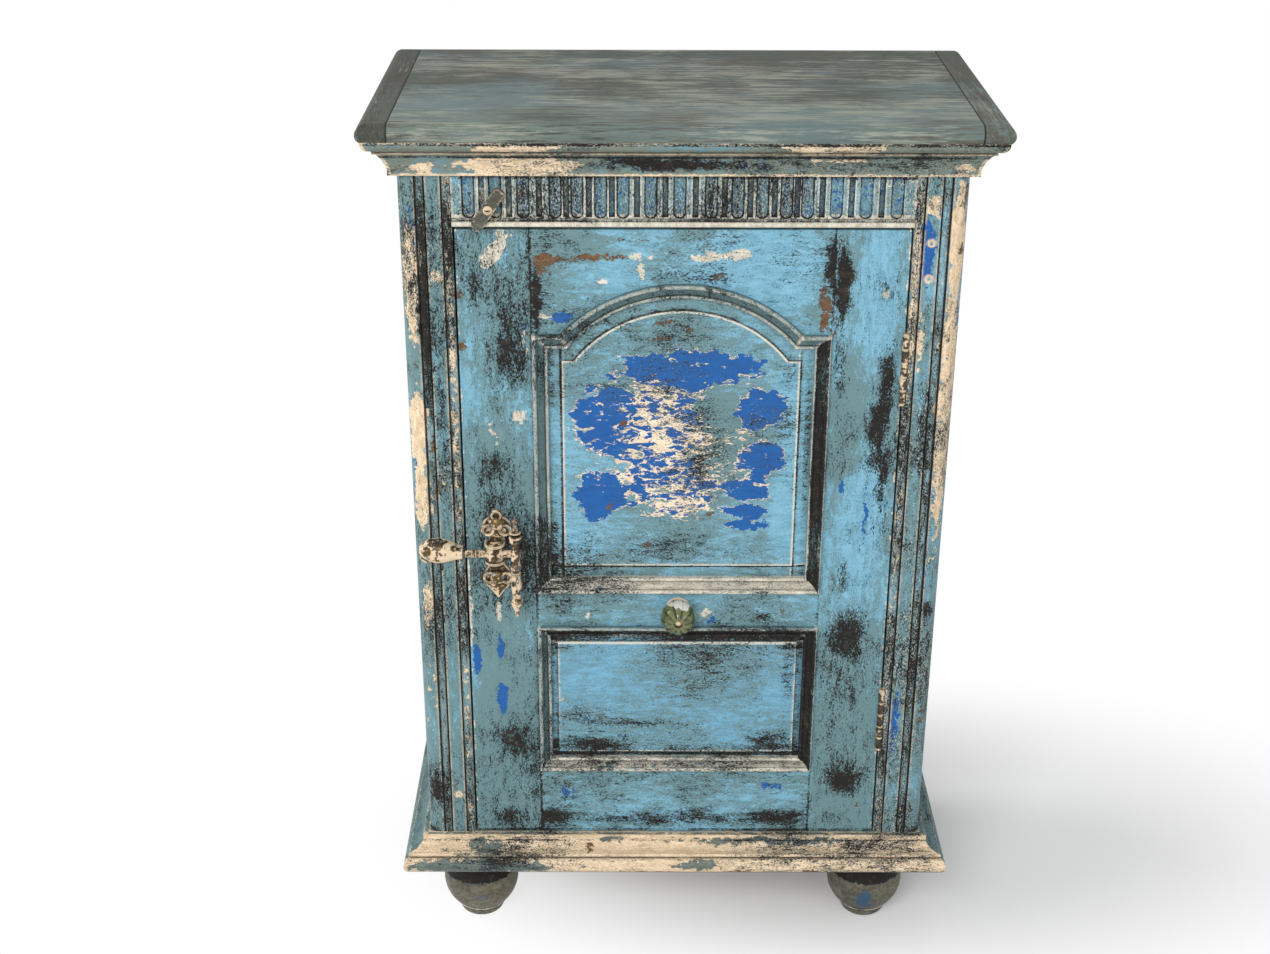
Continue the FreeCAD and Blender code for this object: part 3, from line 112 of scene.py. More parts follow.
class Finish:
    """A material under construction: each call adds shader nodes and gives back what they put out."""

    def __init__(self, name):
        self.material = bpy.data.materials.new(name)
        self.material.use_nodes = True
        self.tree = self.material.node_tree
        self.tree.nodes.clear()
        self.place = self.tree.nodes.new("ShaderNodeTexCoord").outputs["Object"]

    def add(self, kind, inputs, output=0, **settings):
        node = self.tree.nodes.new(kind)
        for key, value in settings.items():
            setattr(node, key, value)
        for key, value in inputs.items():
            if isinstance(value, bpy.types.NodeSocket):
                self.tree.links.new(value, node.inputs[key])
            else:
                node.inputs[key].default_value = value
        return node.outputs[output] if node.outputs else None

    def math(self, operation, first, second=0.0):
        return self.add("ShaderNodeMath", {0: first, 1: second}, operation=operation)

    def times(self, first, second):
        return self.math("MULTIPLY", first, second)

    def less(self, first, second):
        return self.math("SUBTRACT", first, second)

    def most(self, first, second):
        return self.math("MAXIMUM", first, second)

    def apart(self, first, second):
        """How far two values are from each other."""
        return self.math("ABSOLUTE", self.less(first, second))

    def total(self, *values):
        result = values[0]
        for value in values[1:]:
            result = self.math("ADD", result, value)
        return result

    def moved(self, stretch=(1, 1, 1), shift=(0, 0, 0), source=None):
        """The place, stretched along each axis and shifted, for a pattern to be read from."""
        inputs = {0: source or self.place, 1: stretch, 2: shift}
        return self.add("ShaderNodeVectorMath", inputs, operation="MULTIPLY_ADD")

    def length(self, vector):
        return self.add("ShaderNodeVectorMath", {0: vector}, output="Value", operation="LENGTH")

    def axis(self, letter):
        """How far along one axis the place is."""
        return self.add("ShaderNodeSeparateXYZ", {0: self.place}, output="XYZ".index(letter))

    def noise(self, fineness, shift=(0, 0, 0), detail=4.0, roughness=0.6, distortion=0.0):
        """Three noises in one colour, as fine along each axis as said, to the metre."""
        inputs = {"Vector": self.moved(fineness, shift), "Scale": 1.0, "Detail": detail,
                  "Roughness": roughness, "Distortion": distortion}
        return self.add("ShaderNodeTexNoise", inputs, output=1)

    def noises(self, fineness, shift=(0, 0, 0), **texture):
        """The three noises, one by one."""
        split = self.add("ShaderNodeSeparateColor", {0: self.noise(fineness, shift, **texture)}).node
        return [split.outputs[index] for index in range(3)]

    def step(self, value, low, high, bottom=0.0, top=1.0):
        """A soft step from bottom to top as the value goes from low to high."""
        inputs = {"Value": value, "From Min": low, "From Max": high, "To Min": bottom, "To Max": top}
        return self.add("ShaderNodeMapRange", inputs, interpolation_type="SMOOTHSTEP")

    def mix(self, share, first, second):
        inputs = {0: share, 6: first, 7: second}
        return self.add("ShaderNodeMix", inputs, output=2, data_type="RGBA")

    def shelter(self, distance, inside=False):
        """How enclosed a point is within some millimetres: high in a hollow, or with inside at an arris."""
        openness = self.add("ShaderNodeAmbientOcclusion", {"Distance": distance * MM}, output=1,
                            samples=SHELTER_SAMPLES, inside=inside, only_local=True)
        return self.less(1.0, openness)

    def finish(self, colour, roughness, height, relief, **shader_values):
        """Ends the material: its colour, roughness, a bump of a relief in millimetres, and the rest."""
        bump = self.add("ShaderNodeBump", {"Height": height, "Distance": relief * MM, "Strength": 1.0})
        inputs = {"Base Color": colour, "Roughness": roughness, "Normal": bump, **shader_values}
        shader = self.add("ShaderNodeBsdfPrincipled", inputs)
        self.add("ShaderNodeOutputMaterial", {"Surface": shader})
        return self.material


# Marks of wear on the front, in millimetres from the middle and the floor:
# what shows, middle x, middle z, half width, half height, strength.
MARKS = {
    "door_stile_left": {
        "scrape below the turn button": ("cream", -167, 782, 8, 9, 0.58),
        "flakes at the turn button": ("cream", -164, 791, 9, 4, 0.50),
        "middle of the scrape": ("cream", -174, 774, 8, 8, 0.58),
        "foot of the scrape": ("cream", -181, 766, 8, 7, 0.52),
        "soot beside the scrape": ("soot", -192, 736, 6, 24, 0.24),
        "long dark streak": ("soot", -164, 680, 11, 48, 0.28),
        "second dark streak": ("soot", -150, 672, 6, 38, 0.22),
        "chip at the upper edge": ("wood", -206, 734, 6, 13, 0.5),
        "chip at the edge below it": ("wood", -206, 684, 6, 14, 0.5),
        "blue line by the joint": ("royal", -147, 708, 4, 14, 0.3),
        "cream line by the joint": ("cream", -146, 688, 4, 18, 0.36),
        "square cream chip": ("cream", -154, 612, 10, 11, 0.42),
        "cream drips above the latch": ("cream", -176, 592, 12, 24, 0.26),
        "brown band above the latch": ("wood", -182, 568, 24, 22, 0.26),
        "soot over the brown band": ("soot", -172, 560, 26, 16, 0.18),
        "white drip below the latch": ("cream", -179, 399, 3.5, 13, 0.6),
        "blue drip": ("royal", -178, 358, 4.5, 17, 0.50),
        "white edge above the drip": ("cream", -207, 410, 3, 60, 0.34),
        "blue edge drip": ("royal", -203, 346, 6, 20, 0.50),
        "lower blue drip": ("royal", -177, 298, 6, 22, 0.5),
        "tired paint round the latch": ("teal", -175, 486, 40, 110, 0.46),
        "soot round the latch": ("soot", -172, 476, 34, 84, 0.12),
        "tired foot": ("teal", -175, 240, 40, 150, 0.46),
        "grime low down": ("soot", -176, 250, 36, 110, 0.08),
        "burn near the foot": ("soot", -164, 248, 24, 22, 0.30),
        "brown in the burn": ("wood", -150, 246, 8, 14, 0.3),
        "brown streak": ("wood", -196, 196, 10, 24, 0.28),
        "soot at the foot": ("soot", -176, 152, 20, 13, 0.24),
    },
    "door_stile_right": {
        "fresh head": ("sky", 182, 735, 20, 70, 0.5),
        "fresh middle": ("sky", 178, 500, 24, 90, 0.4),
        "tired foot": ("teal", 176, 220, 40, 130, 0.34),
        "speckle low down": ("soot", 174, 300, 34, 96, 0.13),
        "long burn": ("soot", 149, 742, 10, 44, 0.56),
        "brown in the long burn": ("wood", 142, 716, 4, 50, 0.46),
        "soot under the burn": ("soot", 150, 662, 9, 46, 0.36),
        "tired paint under the burn": ("teal", 158, 600, 18, 80, 0.4),
        "streaks under the burn": ("soot", 157, 600, 16, 60, 0.17),
        "streaks by the hinge": ("soot", 196, 650, 9, 44, 0.44),
        "streaks below them": ("soot", 186, 604, 12, 42, 0.40),
        "lowest streaks": ("soot", 196, 545, 8, 54, 0.30),
        "brown by the hinge": ("wood", 184, 598, 6, 20, 0.42),
        "small soot patch": ("soot", 163, 440, 8, 18, 0.30),
        "wide burn": ("soot", 172, 377, 24, 30, 0.34),
        "brown in the wide burn": ("wood", 176, 384, 8, 9, 0.30),
        "low burn": ("soot", 176, 196, 24, 20, 0.34),
        "brown at the foot": ("wood", 190, 166, 10, 14, 0.34),
        "blue scratch": ("royal", 181, 508, 3, 36, 0.42),
        "blue mark": ("royal", 157, 538, 3.5, 10, 0.45),
        "cream chip": ("cream", 188, 738, 4, 4, 0.4),
        "soot at the foot": ("soot", 168, 150, 20, 10, 0.20),
    },
    "door_top_rail": {
        "fresh right half": ("sky", 70, 760, 70, 50, 0.5),
        "tired left end": ("teal", -110, 780, 60, 14, 0.4),
        "brown smear": ("wood", -86, 770, 56, 6, 0.50),
        "brown corner": ("wood", -128, 761, 15, 15, 0.56),
        "brown under the frieze": ("wood", -48, 786, 34, 3.5, 0.40),
        "grey wash": ("soot", -80, 782, 60, 7, 0.12),
        "dark joint": ("soot", -136, 728, 5, 34, 0.60),
        "cream scribble": ("cream", -38, 772, 17, 6, 0.36),
        "cream drop": ("cream", -38, 758, 5, 7, 0.5),
        "cream chip": ("cream", -73, 748, 6, 3.5, 0.5),
        "left long flake": ("cream", 22, 770, 18, 4.5, 0.60),
        "right long flake": ("cream", 50, 771, 16, 5.5, 0.62),
        "brown smudge over the arch": ("wood", 31, 752, 16, 5, 0.46),
        "soot over the arch": ("soot", 0, 752, 70, 8, 0.14),
        "soot at the left of the arch": ("soot", -84, 730, 22, 12, 0.05),
        "blue fleck": ("royal", -112, 712, 12, 5, 0.46),
        "white fleck beside it": ("cream", -126, 712, 9, 2.5, 0.46),
        "burn at the right joint": ("soot", 138, 764, 7, 30, 0.46),
        "brown by the burn": ("wood", 133, 720, 9, 32, 0.58),
    },
    "door_mid_rail": {
        "brown drip": ("wood", 105, 402, 5, 10, 0.45),
        "soot smudge": ("soot", 82, 391, 16, 6, 0.30),
        "scraped spot beside the knob": ("cream", 27, 398, 10, 8, 0.36),
        "blue in the scraped spot": ("royal", 34, 392, 9, 6, 0.3),
        "grey smudge": ("soot", -112, 408, 12, 7, 0.2),
        "white fleck": ("cream", -88, 394, 3, 6, 0.5),
    },
    "door_bottom_rail": {
        "blue splash": ("royal", -112, 181, 11, 8, 0.36),
        "second blue splash": ("royal", 100, 190, 13, 6, 0.40),
        "purple brown spot": ("wood", -50, 174, 5, 6, 0.34),
        "soot along the foot": ("soot", 0, 150, 150, 12, 0.30),
        "burn at the left": ("soot", -128, 152, 20, 12, 0.30),
        "brown smear": ("wood", 122, 154, 20, 10, 0.46),
        "burn at the right": ("soot", 110, 150, 26, 10, 0.26),
    },
    "upper_panel": {
        "royal crown": ("royal", 8, 660, 78, 21, 0.465),
        "royal left shoulder": ("royal", -75, 608, 32, 40, 0.48),
        "royal left foot": ("royal", -80, 527, 25, 31, 0.48),
        "royal right shoulder": ("royal", 77, 618, 27, 25, 0.48),
        "royal right middle": ("royal", 79, 567, 25, 20, 0.48),
        "royal right foot": ("royal", 67, 534, 23, 14, 0.48),
        "royal right toe": ("royal", 69, 510, 22, 9, 0.50),
        "royal band at the foot": ("royal", 64, 495, 32, 6, 0.42),
        "royal in the heart": ("royal", -18, 600, 52, 54, 0.345),
        "royal between the lobes": ("royal", 8, 570, 84, 80, 0.07),
        "royal under the heart": ("royal", -10, 532, 60, 32, 0.32),
        "cream heart": ("cream", -22, 598, 34, 52, 0.045),
        "cream beside the heart": ("cream", 22, 588, 14, 10, 0.09),
        "cream under the heart": ("cream", 2, 512, 34, 20, 0.05),
        "cream scales all over": ("cream", -4, 578, 108, 96, 0.185),
        "fewer at the right": ("cream", 36, 620, 26, 30, -0.09),
        "tan chip": ("wood", -54, 606, 6, 10, 0.5),
        "brown stroke at the crown": ("wood", -14, 706, 22, 4, 0.56),
        "brown hook at the crown": ("wood", 8, 698, 5, 10, 0.56),
        "lower brown stroke": ("wood", -14, 689, 20, 4, 0.56),
        "soot under the arch": ("soot", -10, 690, 70, 16, 0.08),
        "soot at the field's foot": ("soot", 0, 470, 88, 22, 0.17),
        "sooty middle": ("soot", 20, 545, 50, 70, 0.06),
        "soot at the right shoulder": ("soot", 104, 652, 14, 20, 0.22),
        "sky at the right": ("sky", 106, 560, 16, 110, 0.3),
        "sky at the left": ("sky", -104, 470, 30, 30, 0.3),
        "grey scuff": ("teal", 10, 580, 74, 110, 0.26),
        "brown chip by the heart": ("wood", 30, 580, 8, 5, 0.5),
        "brown chip at the foot": ("wood", -33, 472, 12, 6, 0.5),
        "long brown chip": ("wood", -68, 515, 4, 15, 0.45),
        "chip in the lower cream": ("wood", 30, 505, 7, 5, 0.45),
    },
    "lower_panel": {
        "speckle along the head": ("soot", 16, 348, 60, 12, 0.15),
        "brown at the head": ("wood", 16, 346, 7, 5, 0.4),
        "burn at the right edge": ("soot", 112, 318, 10, 30, 0.26),
        "dark streak": ("soot", -38, 267, 50, 5, 0.26),
        "burn at the left foot": ("soot", -86, 243, 46, 9, 0.36),
        "speckle at the left": ("soot", -96, 276, 26, 14, 0.16),
        "burn at the right foot": ("soot", 94, 246, 30, 12, 0.34),
        "cream scrape": ("cream", -117, 300, 8, 8, 0.3),
    },
    "front_post_left": {
        "cream corner strip": ("cream", -251, 745, 10, 66, 0.66),
        "brown at the corner": ("wood", -258, 775, 6, 20, 0.5),
        "brown in the strip": ("wood", -252, 662, 8, 24, 0.40),
        "cream below": ("cream", -252, 596, 10, 54, 0.54),
        "brown among the cream": ("wood", -252, 560, 8, 60, 0.18),
        "cream above the keeper": ("cream", -250, 520, 10, 36, 0.52),
        "cream below the keeper": ("cream", -249, 408, 9, 34, 0.40),
        "worn foot of the corner": ("cream", -250, 300, 9, 80, 0.24),
        "band beside the reed": ("soot", -239, 680, 6, 90, 0.36),
        "brown beside the reed": ("wood", -238, 560, 6, 90, 0.40),
        "cream bead": ("cream", -214, 640, 4.5, 200, 0.10),
        "brown bead": ("wood", -214, 560, 4.5, 200, 0.34),
        "soot low on the corner": ("soot", -252, 190, 8, 24, 0.26),
        "peg end": ("cream", -227, 752, 8, 8, 0.5),
        "cream dash on the flat": ("cream", -227, 546, 4, 22, 0.34),
        "blue on the corner": ("royal", -254, 552, 7, 30, 0.26),
        "blue at the head": ("royal", -246, 800, 5, 30, 0.30),
        "grey flat": ("soot", -227, 610, 11, 110, 0.33),
        "brown flat": ("wood", -228, 530, 8, 26, 0.44),
    },
    "front_post_right": {
        "royal flat": ("royal", 223, 776, 8, 34, 0.50),
        "cream bead": ("cream", 214, 730, 4.5, 100, 0.20),
        "brown bead": ("wood", 214, 790, 4.5, 90, 0.32),
        "cream star": ("cream", 227, 818, 9, 11, 0.56),
        "cream corner": ("cream", 253, 640, 12, 225, 0.45),
        "cream corner head": ("cream", 251, 790, 9, 50, 0.40),
        "brown at the head": ("wood", 257, 826, 6, 20, 0.58),
        "brown below the head": ("wood", 256, 782, 4, 18, 0.50),
        "brown down the edge": ("wood", 259, 740, 4, 60, 0.34),
        "royal flecks": ("royal", 256, 712, 5, 20, 0.40),
        "dark notch": ("soot", 250, 404, 8, 12, 0.5),
        "bare wood foot": ("wood", 252, 296, 11, 92, 0.44),
        "cream flecks on the bare wood": ("cream", 252, 270, 9, 80, 0.18),
        "royal marks": ("royal", 224, 268, 6, 46, 0.36),
        "royal line": ("royal", 243, 520, 4, 110, 0.24),
        "soot on the flat": ("soot", 232, 600, 6, 80, 0.16),
        "cream beside the hinge": ("cream", 222, 690, 5, 40, 0.34),
    },
    "frieze_rail": {
        "brown flute": ("wood", -146, 828, 7, 16, 0.5),
        "brown in the third flute": ("wood", -183, 822, 5, 14, 0.4),
        "cream ends": ("cream", -176, 806, 44, 5, 0.24),
        "cream flakes beside the turn button": ("cream", -160, 814, 8, 7, 0.42),
        "pale flute behind the turn button": ("cream", -184, 832, 5, 11, 0.40),
        "navy bead in the middle": ("soot", -70, 802, 46, 3, 0.36),
    },
    "cornice_front": {
        "bare primer at the left": ("cream", -152, 859, 62, 10, 0.80),
        "oval chip": ("cream", -235, 856, 15, 4.5, 0.6),
        "blue on the primer": ("sky", -184, 860, 7, 4, 0.5),
        "upper primer at the left": ("cream", -153, 879, 42, 6, 0.62),
        "bare primer at the right": ("cream", 136, 864, 36, 4, 0.40),
        "upper primer at the right": ("cream", 133, 879, 46, 7, 0.70),
        "primer at the right end": ("cream", 250, 856, 13, 4, 0.42),
        "sooty cove": ("soot", -20, 860, 80, 9, 0.74),
        "dark right half": ("soot", 150, 860, 120, 8, 0.16),
        "royal drop": ("royal", 52, 859, 3, 4.5, 0.6),
        "second royal drop": ("royal", 71, 859, 3.5, 5, 0.6),
        "brown chip": ("wood", 150, 852, 9, 3.5, 0.55),
        "tired upper edge": ("teal", 0, 876, 290, 10, 0.4),
        "blue upper middle": ("sky", 20, 878, 90, 6, 0.5),
    },
    "foot_front_left": {
        "blue blot": ("teal", -208, 36, 12, 12, 0.36),
        "pale belly": ("chalk", -214, 38, 26, 14, 0.14),
    },
    "foot_front_right": {
        "blue blot": ("teal", 208, 34, 11, 16, 0.44),
        "pale belly": ("chalk", 222, 38, 20, 14, 0.12),
    },
    "base_moulding_front": {
        "green left end": ("cream", -206, 105, 84, 9, -0.50),
        "soot on the left end": ("soot", -204, 112, 100, 18, 0.13),
        "blue cove at the left": ("cream", -200, 123, 22, 9, -0.34),
        "blue cove in the middle": ("cream", -66, 128, 20, 4, -0.34),
        "grey top of the cove": ("cream", 94, 126, 118, 4, -0.34),
        "brown spot in the cove": ("wood", -90, 122, 7, 8, 0.50),
        "brown foot line": ("wood", -42, 97.5, 74, 3, 0.5),
        "brown chip on the torus": ("wood", 69, 101, 22, 5, 0.5),
        "second brown chip": ("wood", 145, 101, 13, 5.5, 0.55),
        "round brown spot": ("wood", 176, 106, 4, 3, 0.55),
        "brown right end": ("wood", 258, 100, 22, 4, 0.45),
        "blue on the torus": ("cream", 24, 108, 28, 5, -0.44),
        "soot at the right of the cove": ("soot", 190, 122, 20, 7, 0.22),
    },
}

# A mark's half depth back from the front of its piece, and more on mouldings, which slope back
FRONT_DEPTH = 24
SLOPED_DEPTH = 60
# Door pieces show the front's wear only this far behind their front, and it ends over the fade
DOOR_FACE = 12
PANEL_FACE = 8
FACE_FADE = 1
# A mark by its layer: the share of its radii out to which it keeps its strength, and how strong it
# is there. Every mark is gone at the same share of its radii.
MARK_SHAPES = {
    "sky": (0.0, 1.4),
    "teal": (0.0, 1.4),
    "royal": (0.55, 1.5),
    "cream": (0.40, 1.5),
    "soot": (0.0, 1.05),
    "wood": (0.25, 1.3),
    "chalk": (0.0, 1.2),
}
MARK_END = 1.35
# How finely the edges of marks wander, to the metre, and over what breadth, in metres
WANDER_FINENESS = (70, 70, 70)
WANDER_TEXTURE = dict(detail=6, roughness=0.7)
WANDER = 0.022

# The line round the upper field: the height of its arch's centre, and where the arch starts
ARCH_CENTRE = 590
ARCH_START = 667
ARCH_FADE = 1

# Where in its noises the paint is read
PAINT_SHIFT = (44.4, 44.77, 45.14)


def stripe(finish, course, low, high, strength, soft=0.6):
    """What a stripe brings from low to high, in millimetres along an axis or out from the arch's centre."""
    if course == "arch":
        reach = finish.length(finish.moved((1, 0, 1), (0, 0, -ARCH_CENTRE * MM)))
        start, end = (ARCH_START - ARCH_FADE) * MM, (ARCH_START + ARCH_FADE) * MM
        strength = finish.step(finish.axis("Z"), start, end, 0.0, strength)
    else:
        reach = finish.axis(course)
    rise = finish.step(reach, (low - soft) * MM, (low + soft) * MM)
    fall = finish.step(reach, (high - soft) * MM, (high + soft) * MM, 1.0, 0.0)
    return finish.times(finish.times(rise, fall), strength)


def wear_and_light_amounts(finish, node, stripes, face):
    """For each layer, how much more of it the marks and stripes on this piece bring."""
    wander = finish.noise(WANDER_FINENESS, PAINT_SHIFT, **WANDER_TEXTURE)
    inputs = {0: wander, 1: (WANDER,) * 3, 2: finish.place}
    wandered = finish.add("ShaderNodeVectorMath", inputs, operation="MULTIPLY_ADD")
    place = finish.moved(shift=(-WANDER / 2,) * 3, source=wandered)
    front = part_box(node)[0].y
    depth = SLOPED_DEPTH if node.startswith(("cornice", "base")) else FRONT_DEPTH
    amounts = {layer: [] for layer in MARK_SHAPES}
    for layer, x, z, half_width, half_height, strength in MARKS.get(node, {}).values():
        core, gain = MARK_SHAPES[layer]
        stretch = [1 / radius for radius in Vector((half_width, depth, half_height)) * MM]
        middle = (x * MM, front, z * MM)
        shift = [-value * share for value, share in zip(middle, stretch)]
        reach = finish.length(finish.moved(stretch, shift, place))
        amounts[layer].append(finish.step(reach, core, MARK_END, gain * strength, 0.0))
    for layer, *values in stripes.values():
        amounts[layer].append(stripe(finish, *values))
    if face:
        limit = front + face * MM
        gate = finish.step(finish.axis("Y"), limit, limit + FACE_FADE * MM, 1.0, 0.0)
        for layer, values in amounts.items():
            if values:
                amounts[layer] = [finish.times(finish.total(*values), gate)]
    return amounts


# How the coats of paint wear. A layer shows where its noise, which spreads about a fifth each way
# from zero, and its amount here come to more than zero. Crest is what arrises add to the cream, and
# hollow shade is the painted shade that hollows add to the soot. Across and along say how fine the
# noises are across and along the grain, and flake how fine the chips are, all to the metre. Stretch draws
# chips out along it.
COAT = dict(sky=SKY, deep=SKY_DEEP, tired=TEAL, primer=CREAM, primer_old=CREAM_OLD, teal=0.04, royal=-0.50,
            cream=-0.46, soot=-0.28, wood=-0.55, chalk=-0.40, crest=1.5, quirk=0.9,
            across=640, along=190, flake=120, stretch=1.0, torn=False, face=None)

# The paint's noises: how each breaks up, and how fine it is, as a share of the coat's or to the metre
SPECKS = dict(detail=3, roughness=0.75)
SPECKS_ALONG = 2.4
SPECKS_ACROSS = 1.2
STREAKS = dict(detail=6, roughness=0.66, distortion=0.5)
STREAKS_FINENESS = 0.3
BLOTS = dict(detail=8, roughness=0.66, distortion=0.3)
CLOUDS = dict(detail=4, roughness=0.55)
CLOUDS_FINENESS = (9, 9, 9)

# What a layer's noise is multiplied by, its middle, the share of its finer part, and the soft step
# at which the layer shows. Grime shows where there is almost enough soot, and so also as a fringe of painted
# shade.
NOISE_GAIN = 2.2
NOISE_MIDDLE = 0.5
FINER_SHARES = {"teal": 0.45, "royal": 0.75, "cream": 0.7, "wood": 0.6, "soot": 0.6, "chalk": 0.8}
SHOWS = {
    "teal": (-0.18, 0.18),
    "royal": (0.0, 0.03),
    "cream": (0.0, 0.03),
    "wood": (0.0, 0.05),
    "soot": (0.0, 0.06),
    "grime_and_shade": (-0.20, 0.0, 0.0, 0.78),
    "chalk": (0.0, 0.05, 0.0, 0.85),
}
PATCHINESS = 1.1
CHALK_BY_SOOT_AND_SHADE = 0.6

# Hollows, darkened with painted shade, and arrises: how far round a point they are felt, in millimetres, and
# where a crest breaks
HOLLOW_SHADE_REACH = 5
CREST_REACH = 2.6
CREST_BREAKS = (0.80, 1.06)
CREST_LEAST = 0.45

# In a torn coat the flakes follow the folds of their noise, where it passes through its middle,
# and gather along the rims of the blue.
FOLD_TOP = 0.65
FOLD_FALL = 1.5
RIM_REACH = 0.09
RIM_STRENGTH = 0.25

# The paint's tones, how deep each loss of it goes, as shares of the relief, and its sheen
TONE = (0.76, 1.24)
SOOT_AND_SHADE_TONE = (0.50, 0.64)
CREAM_LOSS = 0.4
WOOD_LOSS = 0.7
SKIN_RELIEF = 0.12
PAINT_RELIEF = 0.3
PAINT_ROUGHNESS = (0.52, 0.80)
PAINT_SHINE = {"Specular IOR Level": 0.35}


def by_grain(grain, along, across):
    """One value for each axis: one along the grain, and another across it."""
    return Vector([along if letter == grain else across for letter in "XYZ"])


def layers_shown(finish, coat, marks, specks, streaks, blots, clouds):
    """How far each layer of paint and dirt shows, from 0 to 1, with painted shade and painted highlights
    among them.
    """
    patchy = finish.times(finish.less(clouds[0], NOISE_MIDDLE), PATCHINESS)
    # Painted shade: hollows and quirks darken with the soot
    quirk = finish.times(finish.shelter(HOLLOW_SHADE_REACH), coat["quirk"])
    broken = finish.step(finish.total(streaks[0], clouds[1]), *CREST_BREAKS,
                         CREST_LEAST * coat["crest"], coat["crest"])
    crest = finish.times(finish.shelter(CREST_REACH, inside=True), broken)

    def amount(layer, finer, coarser, *more):
        share = FINER_SHARES[layer]
        grainy = finish.total(finish.times(finer, share * NOISE_GAIN),
                              finish.times(coarser, (1 - share) * NOISE_GAIN))
        return finish.total(grainy, coat[layer] - NOISE_GAIN / 2, *more, *marks[layer])

    fresh = [finish.times(one, -1.0) for one in marks["sky"]]
    chalky = [finish.times(one, CHALK_BY_SOOT_AND_SHADE) for one in marks["soot"]]
    amounts = {
        "teal": amount("teal", specks[2], streaks[2], patchy, *fresh),
        "royal": amount("royal", blots[0], streaks[1]),
        "wood": amount("wood", blots[2], specks[0]),
        "soot": amount("soot", specks[0], streaks[0], patchy, quirk),
        "chalk": amount("chalk", specks[1], streaks[0], patchy, *chalky),
    }
    amounts["grime_and_shade"] = amounts["soot"]
    flakes = blots[1]
    rims = [crest]
    if coat["torn"]:
        fold = finish.apart(blots[1], NOISE_MIDDLE)
        flakes = finish.less(FOLD_TOP, finish.times(fold, FOLD_FALL))
        from_edge = finish.math("ABSOLUTE", amounts["royal"])
        rims.append(finish.step(from_edge, 0.0, RIM_REACH, RIM_STRENGTH, 0.0))
    amounts["cream"] = amount("cream", flakes, streaks[2], *rims)
    return {layer: finish.step(value, *SHOWS[layer]) for layer, value in amounts.items()}


def painted(node, grain, stripes, **changes):
    """Layers of old paint: wood, soot, cream primer, royal blue and a sky blue top coat, worn through, with
    painted shade.
    """
    coat = {**COAT, **changes}
    finish = Finish(node + "_paint")
    marks = wear_and_light_amounts(finish, node, stripes, coat["face"])
    grit = by_grain(grain, coat["along"] * SPECKS_ALONG, coat["across"] * SPECKS_ACROSS)
    run = by_grain(grain, coat["along"], coat["across"]) * STREAKS_FINENESS
    chip = by_grain(grain, coat["flake"] / coat["stretch"], coat["flake"])
    specks = finish.noises(grit, PAINT_SHIFT, **SPECKS)
    streaks = finish.noises(run, PAINT_SHIFT, **STREAKS)
    blots = finish.noises(chip, PAINT_SHIFT, **BLOTS)
    clouds = finish.noises(CLOUDS_FINENESS, PAINT_SHIFT, **CLOUDS)
    shown = layers_shown(finish, coat, marks, specks, streaks, blots, clouds)

    tone = finish.step(finish.total(streaks[1], specks[1]), *TONE)
    soot_tone = finish.step(blots[2], *SOOT_AND_SHADE_TONE)
    colour = finish.mix(tone, coat["deep"], coat["sky"])
    colour = finish.mix(shown["teal"], colour, coat["tired"])
    colour = finish.mix(shown["royal"], colour, finish.mix(tone, ROYAL_DEEP, ROYAL))
    colour = finish.mix(shown["cream"], colour, finish.mix(tone, coat["primer_old"], coat["primer"]))
    colour = finish.mix(shown["wood"], colour, finish.mix(tone, WOOD_DARK, WOOD))
    # The chalk colour also paints the highlights along the fields' edges
    colour = finish.mix(shown["chalk"], colour, CHALK_AND_HIGHLIGHT)
    # Grime also shows as a fringe round the painted shade
    colour = finish.mix(shown["grime_and_shade"], colour, GRIME_AND_SHADE)
    # The soot colour also paints the shade in hollows and along shaded stripes
    colour = finish.mix(shown["soot"], colour, finish.mix(soot_tone, SOOT_AND_SHADE, SOOT_AND_SHADE_SOFT))

    lost = finish.most(finish.times(shown["cream"], CREAM_LOSS), finish.times(shown["wood"], WOOD_LOSS))
    lost = finish.most(lost, shown["soot"])
    skin = finish.times(finish.total(specks[1], streaks[1]), SKIN_RELIEF)
    roughness = finish.step(lost, 0.0, 1.0, *PAINT_ROUGHNESS)
    return finish.finish(colour, roughness, finish.less(skin, lost), PAINT_RELIEF, **PAINT_SHINE)


# The wash on the top: its noises, how they are weighed, and the soft steps at which its colours show
WASH_SHIFT = (63.6, 64.13, 64.66)
WASH_ALONG = 15
WASH_ACROSS = 250
WASH_FINER = 4
WASH_CLOUDS = (7, 12, 12)
LONG_STREAKS = dict(detail=7, roughness=0.68, distortion=0.4)
FINE_STREAKS = dict(detail=4, roughness=0.65)
STREAK_WEIGHTS = (0.6, 0.4)
CHECK_WEIGHTS = (0.6, 0.4)
CLOUD_WEIGHT = 0.5
BLUE_BREAKS = 0.4
WASH_STEPS = {
    "green": (0.42, 0.58),
    "blue": (0.26, 0.46, 0.0, 0.4),
    "dirt": (0.53, 0.62, 0.0, 0.75),
    "pale": (0.52, 0.61, 0.0, 0.62),
    "check": (0.61, 0.66, 0.0, 0.85),
}
# Painted light: the top is greener and lighter in front and darker at the back, from one y to another, in
# metres, and from one amount to another
FRONT_LIGHT_BACK_SHADE = (-0.16, 0.16, 0.06, -0.16)
# The arrises are pale, but not near the cleats' joints, which are dark. Lengths are in millimetres.
EDGE_REACH = 4
EDGE_PALE = 0.5
EDGE_FROM_JOINT = (3, 7)
JOINT_LINE = (0.5, 1.3)
JOINT_DARK = 0.8
WASH_SKIN = 0.3
WASH_RELIEF = 0.3
WASH_ROUGHNESS = (0.3, 0.7, 0.58, 0.72)
WASH_SHINE = {"Specular IOR Level": 0.22}


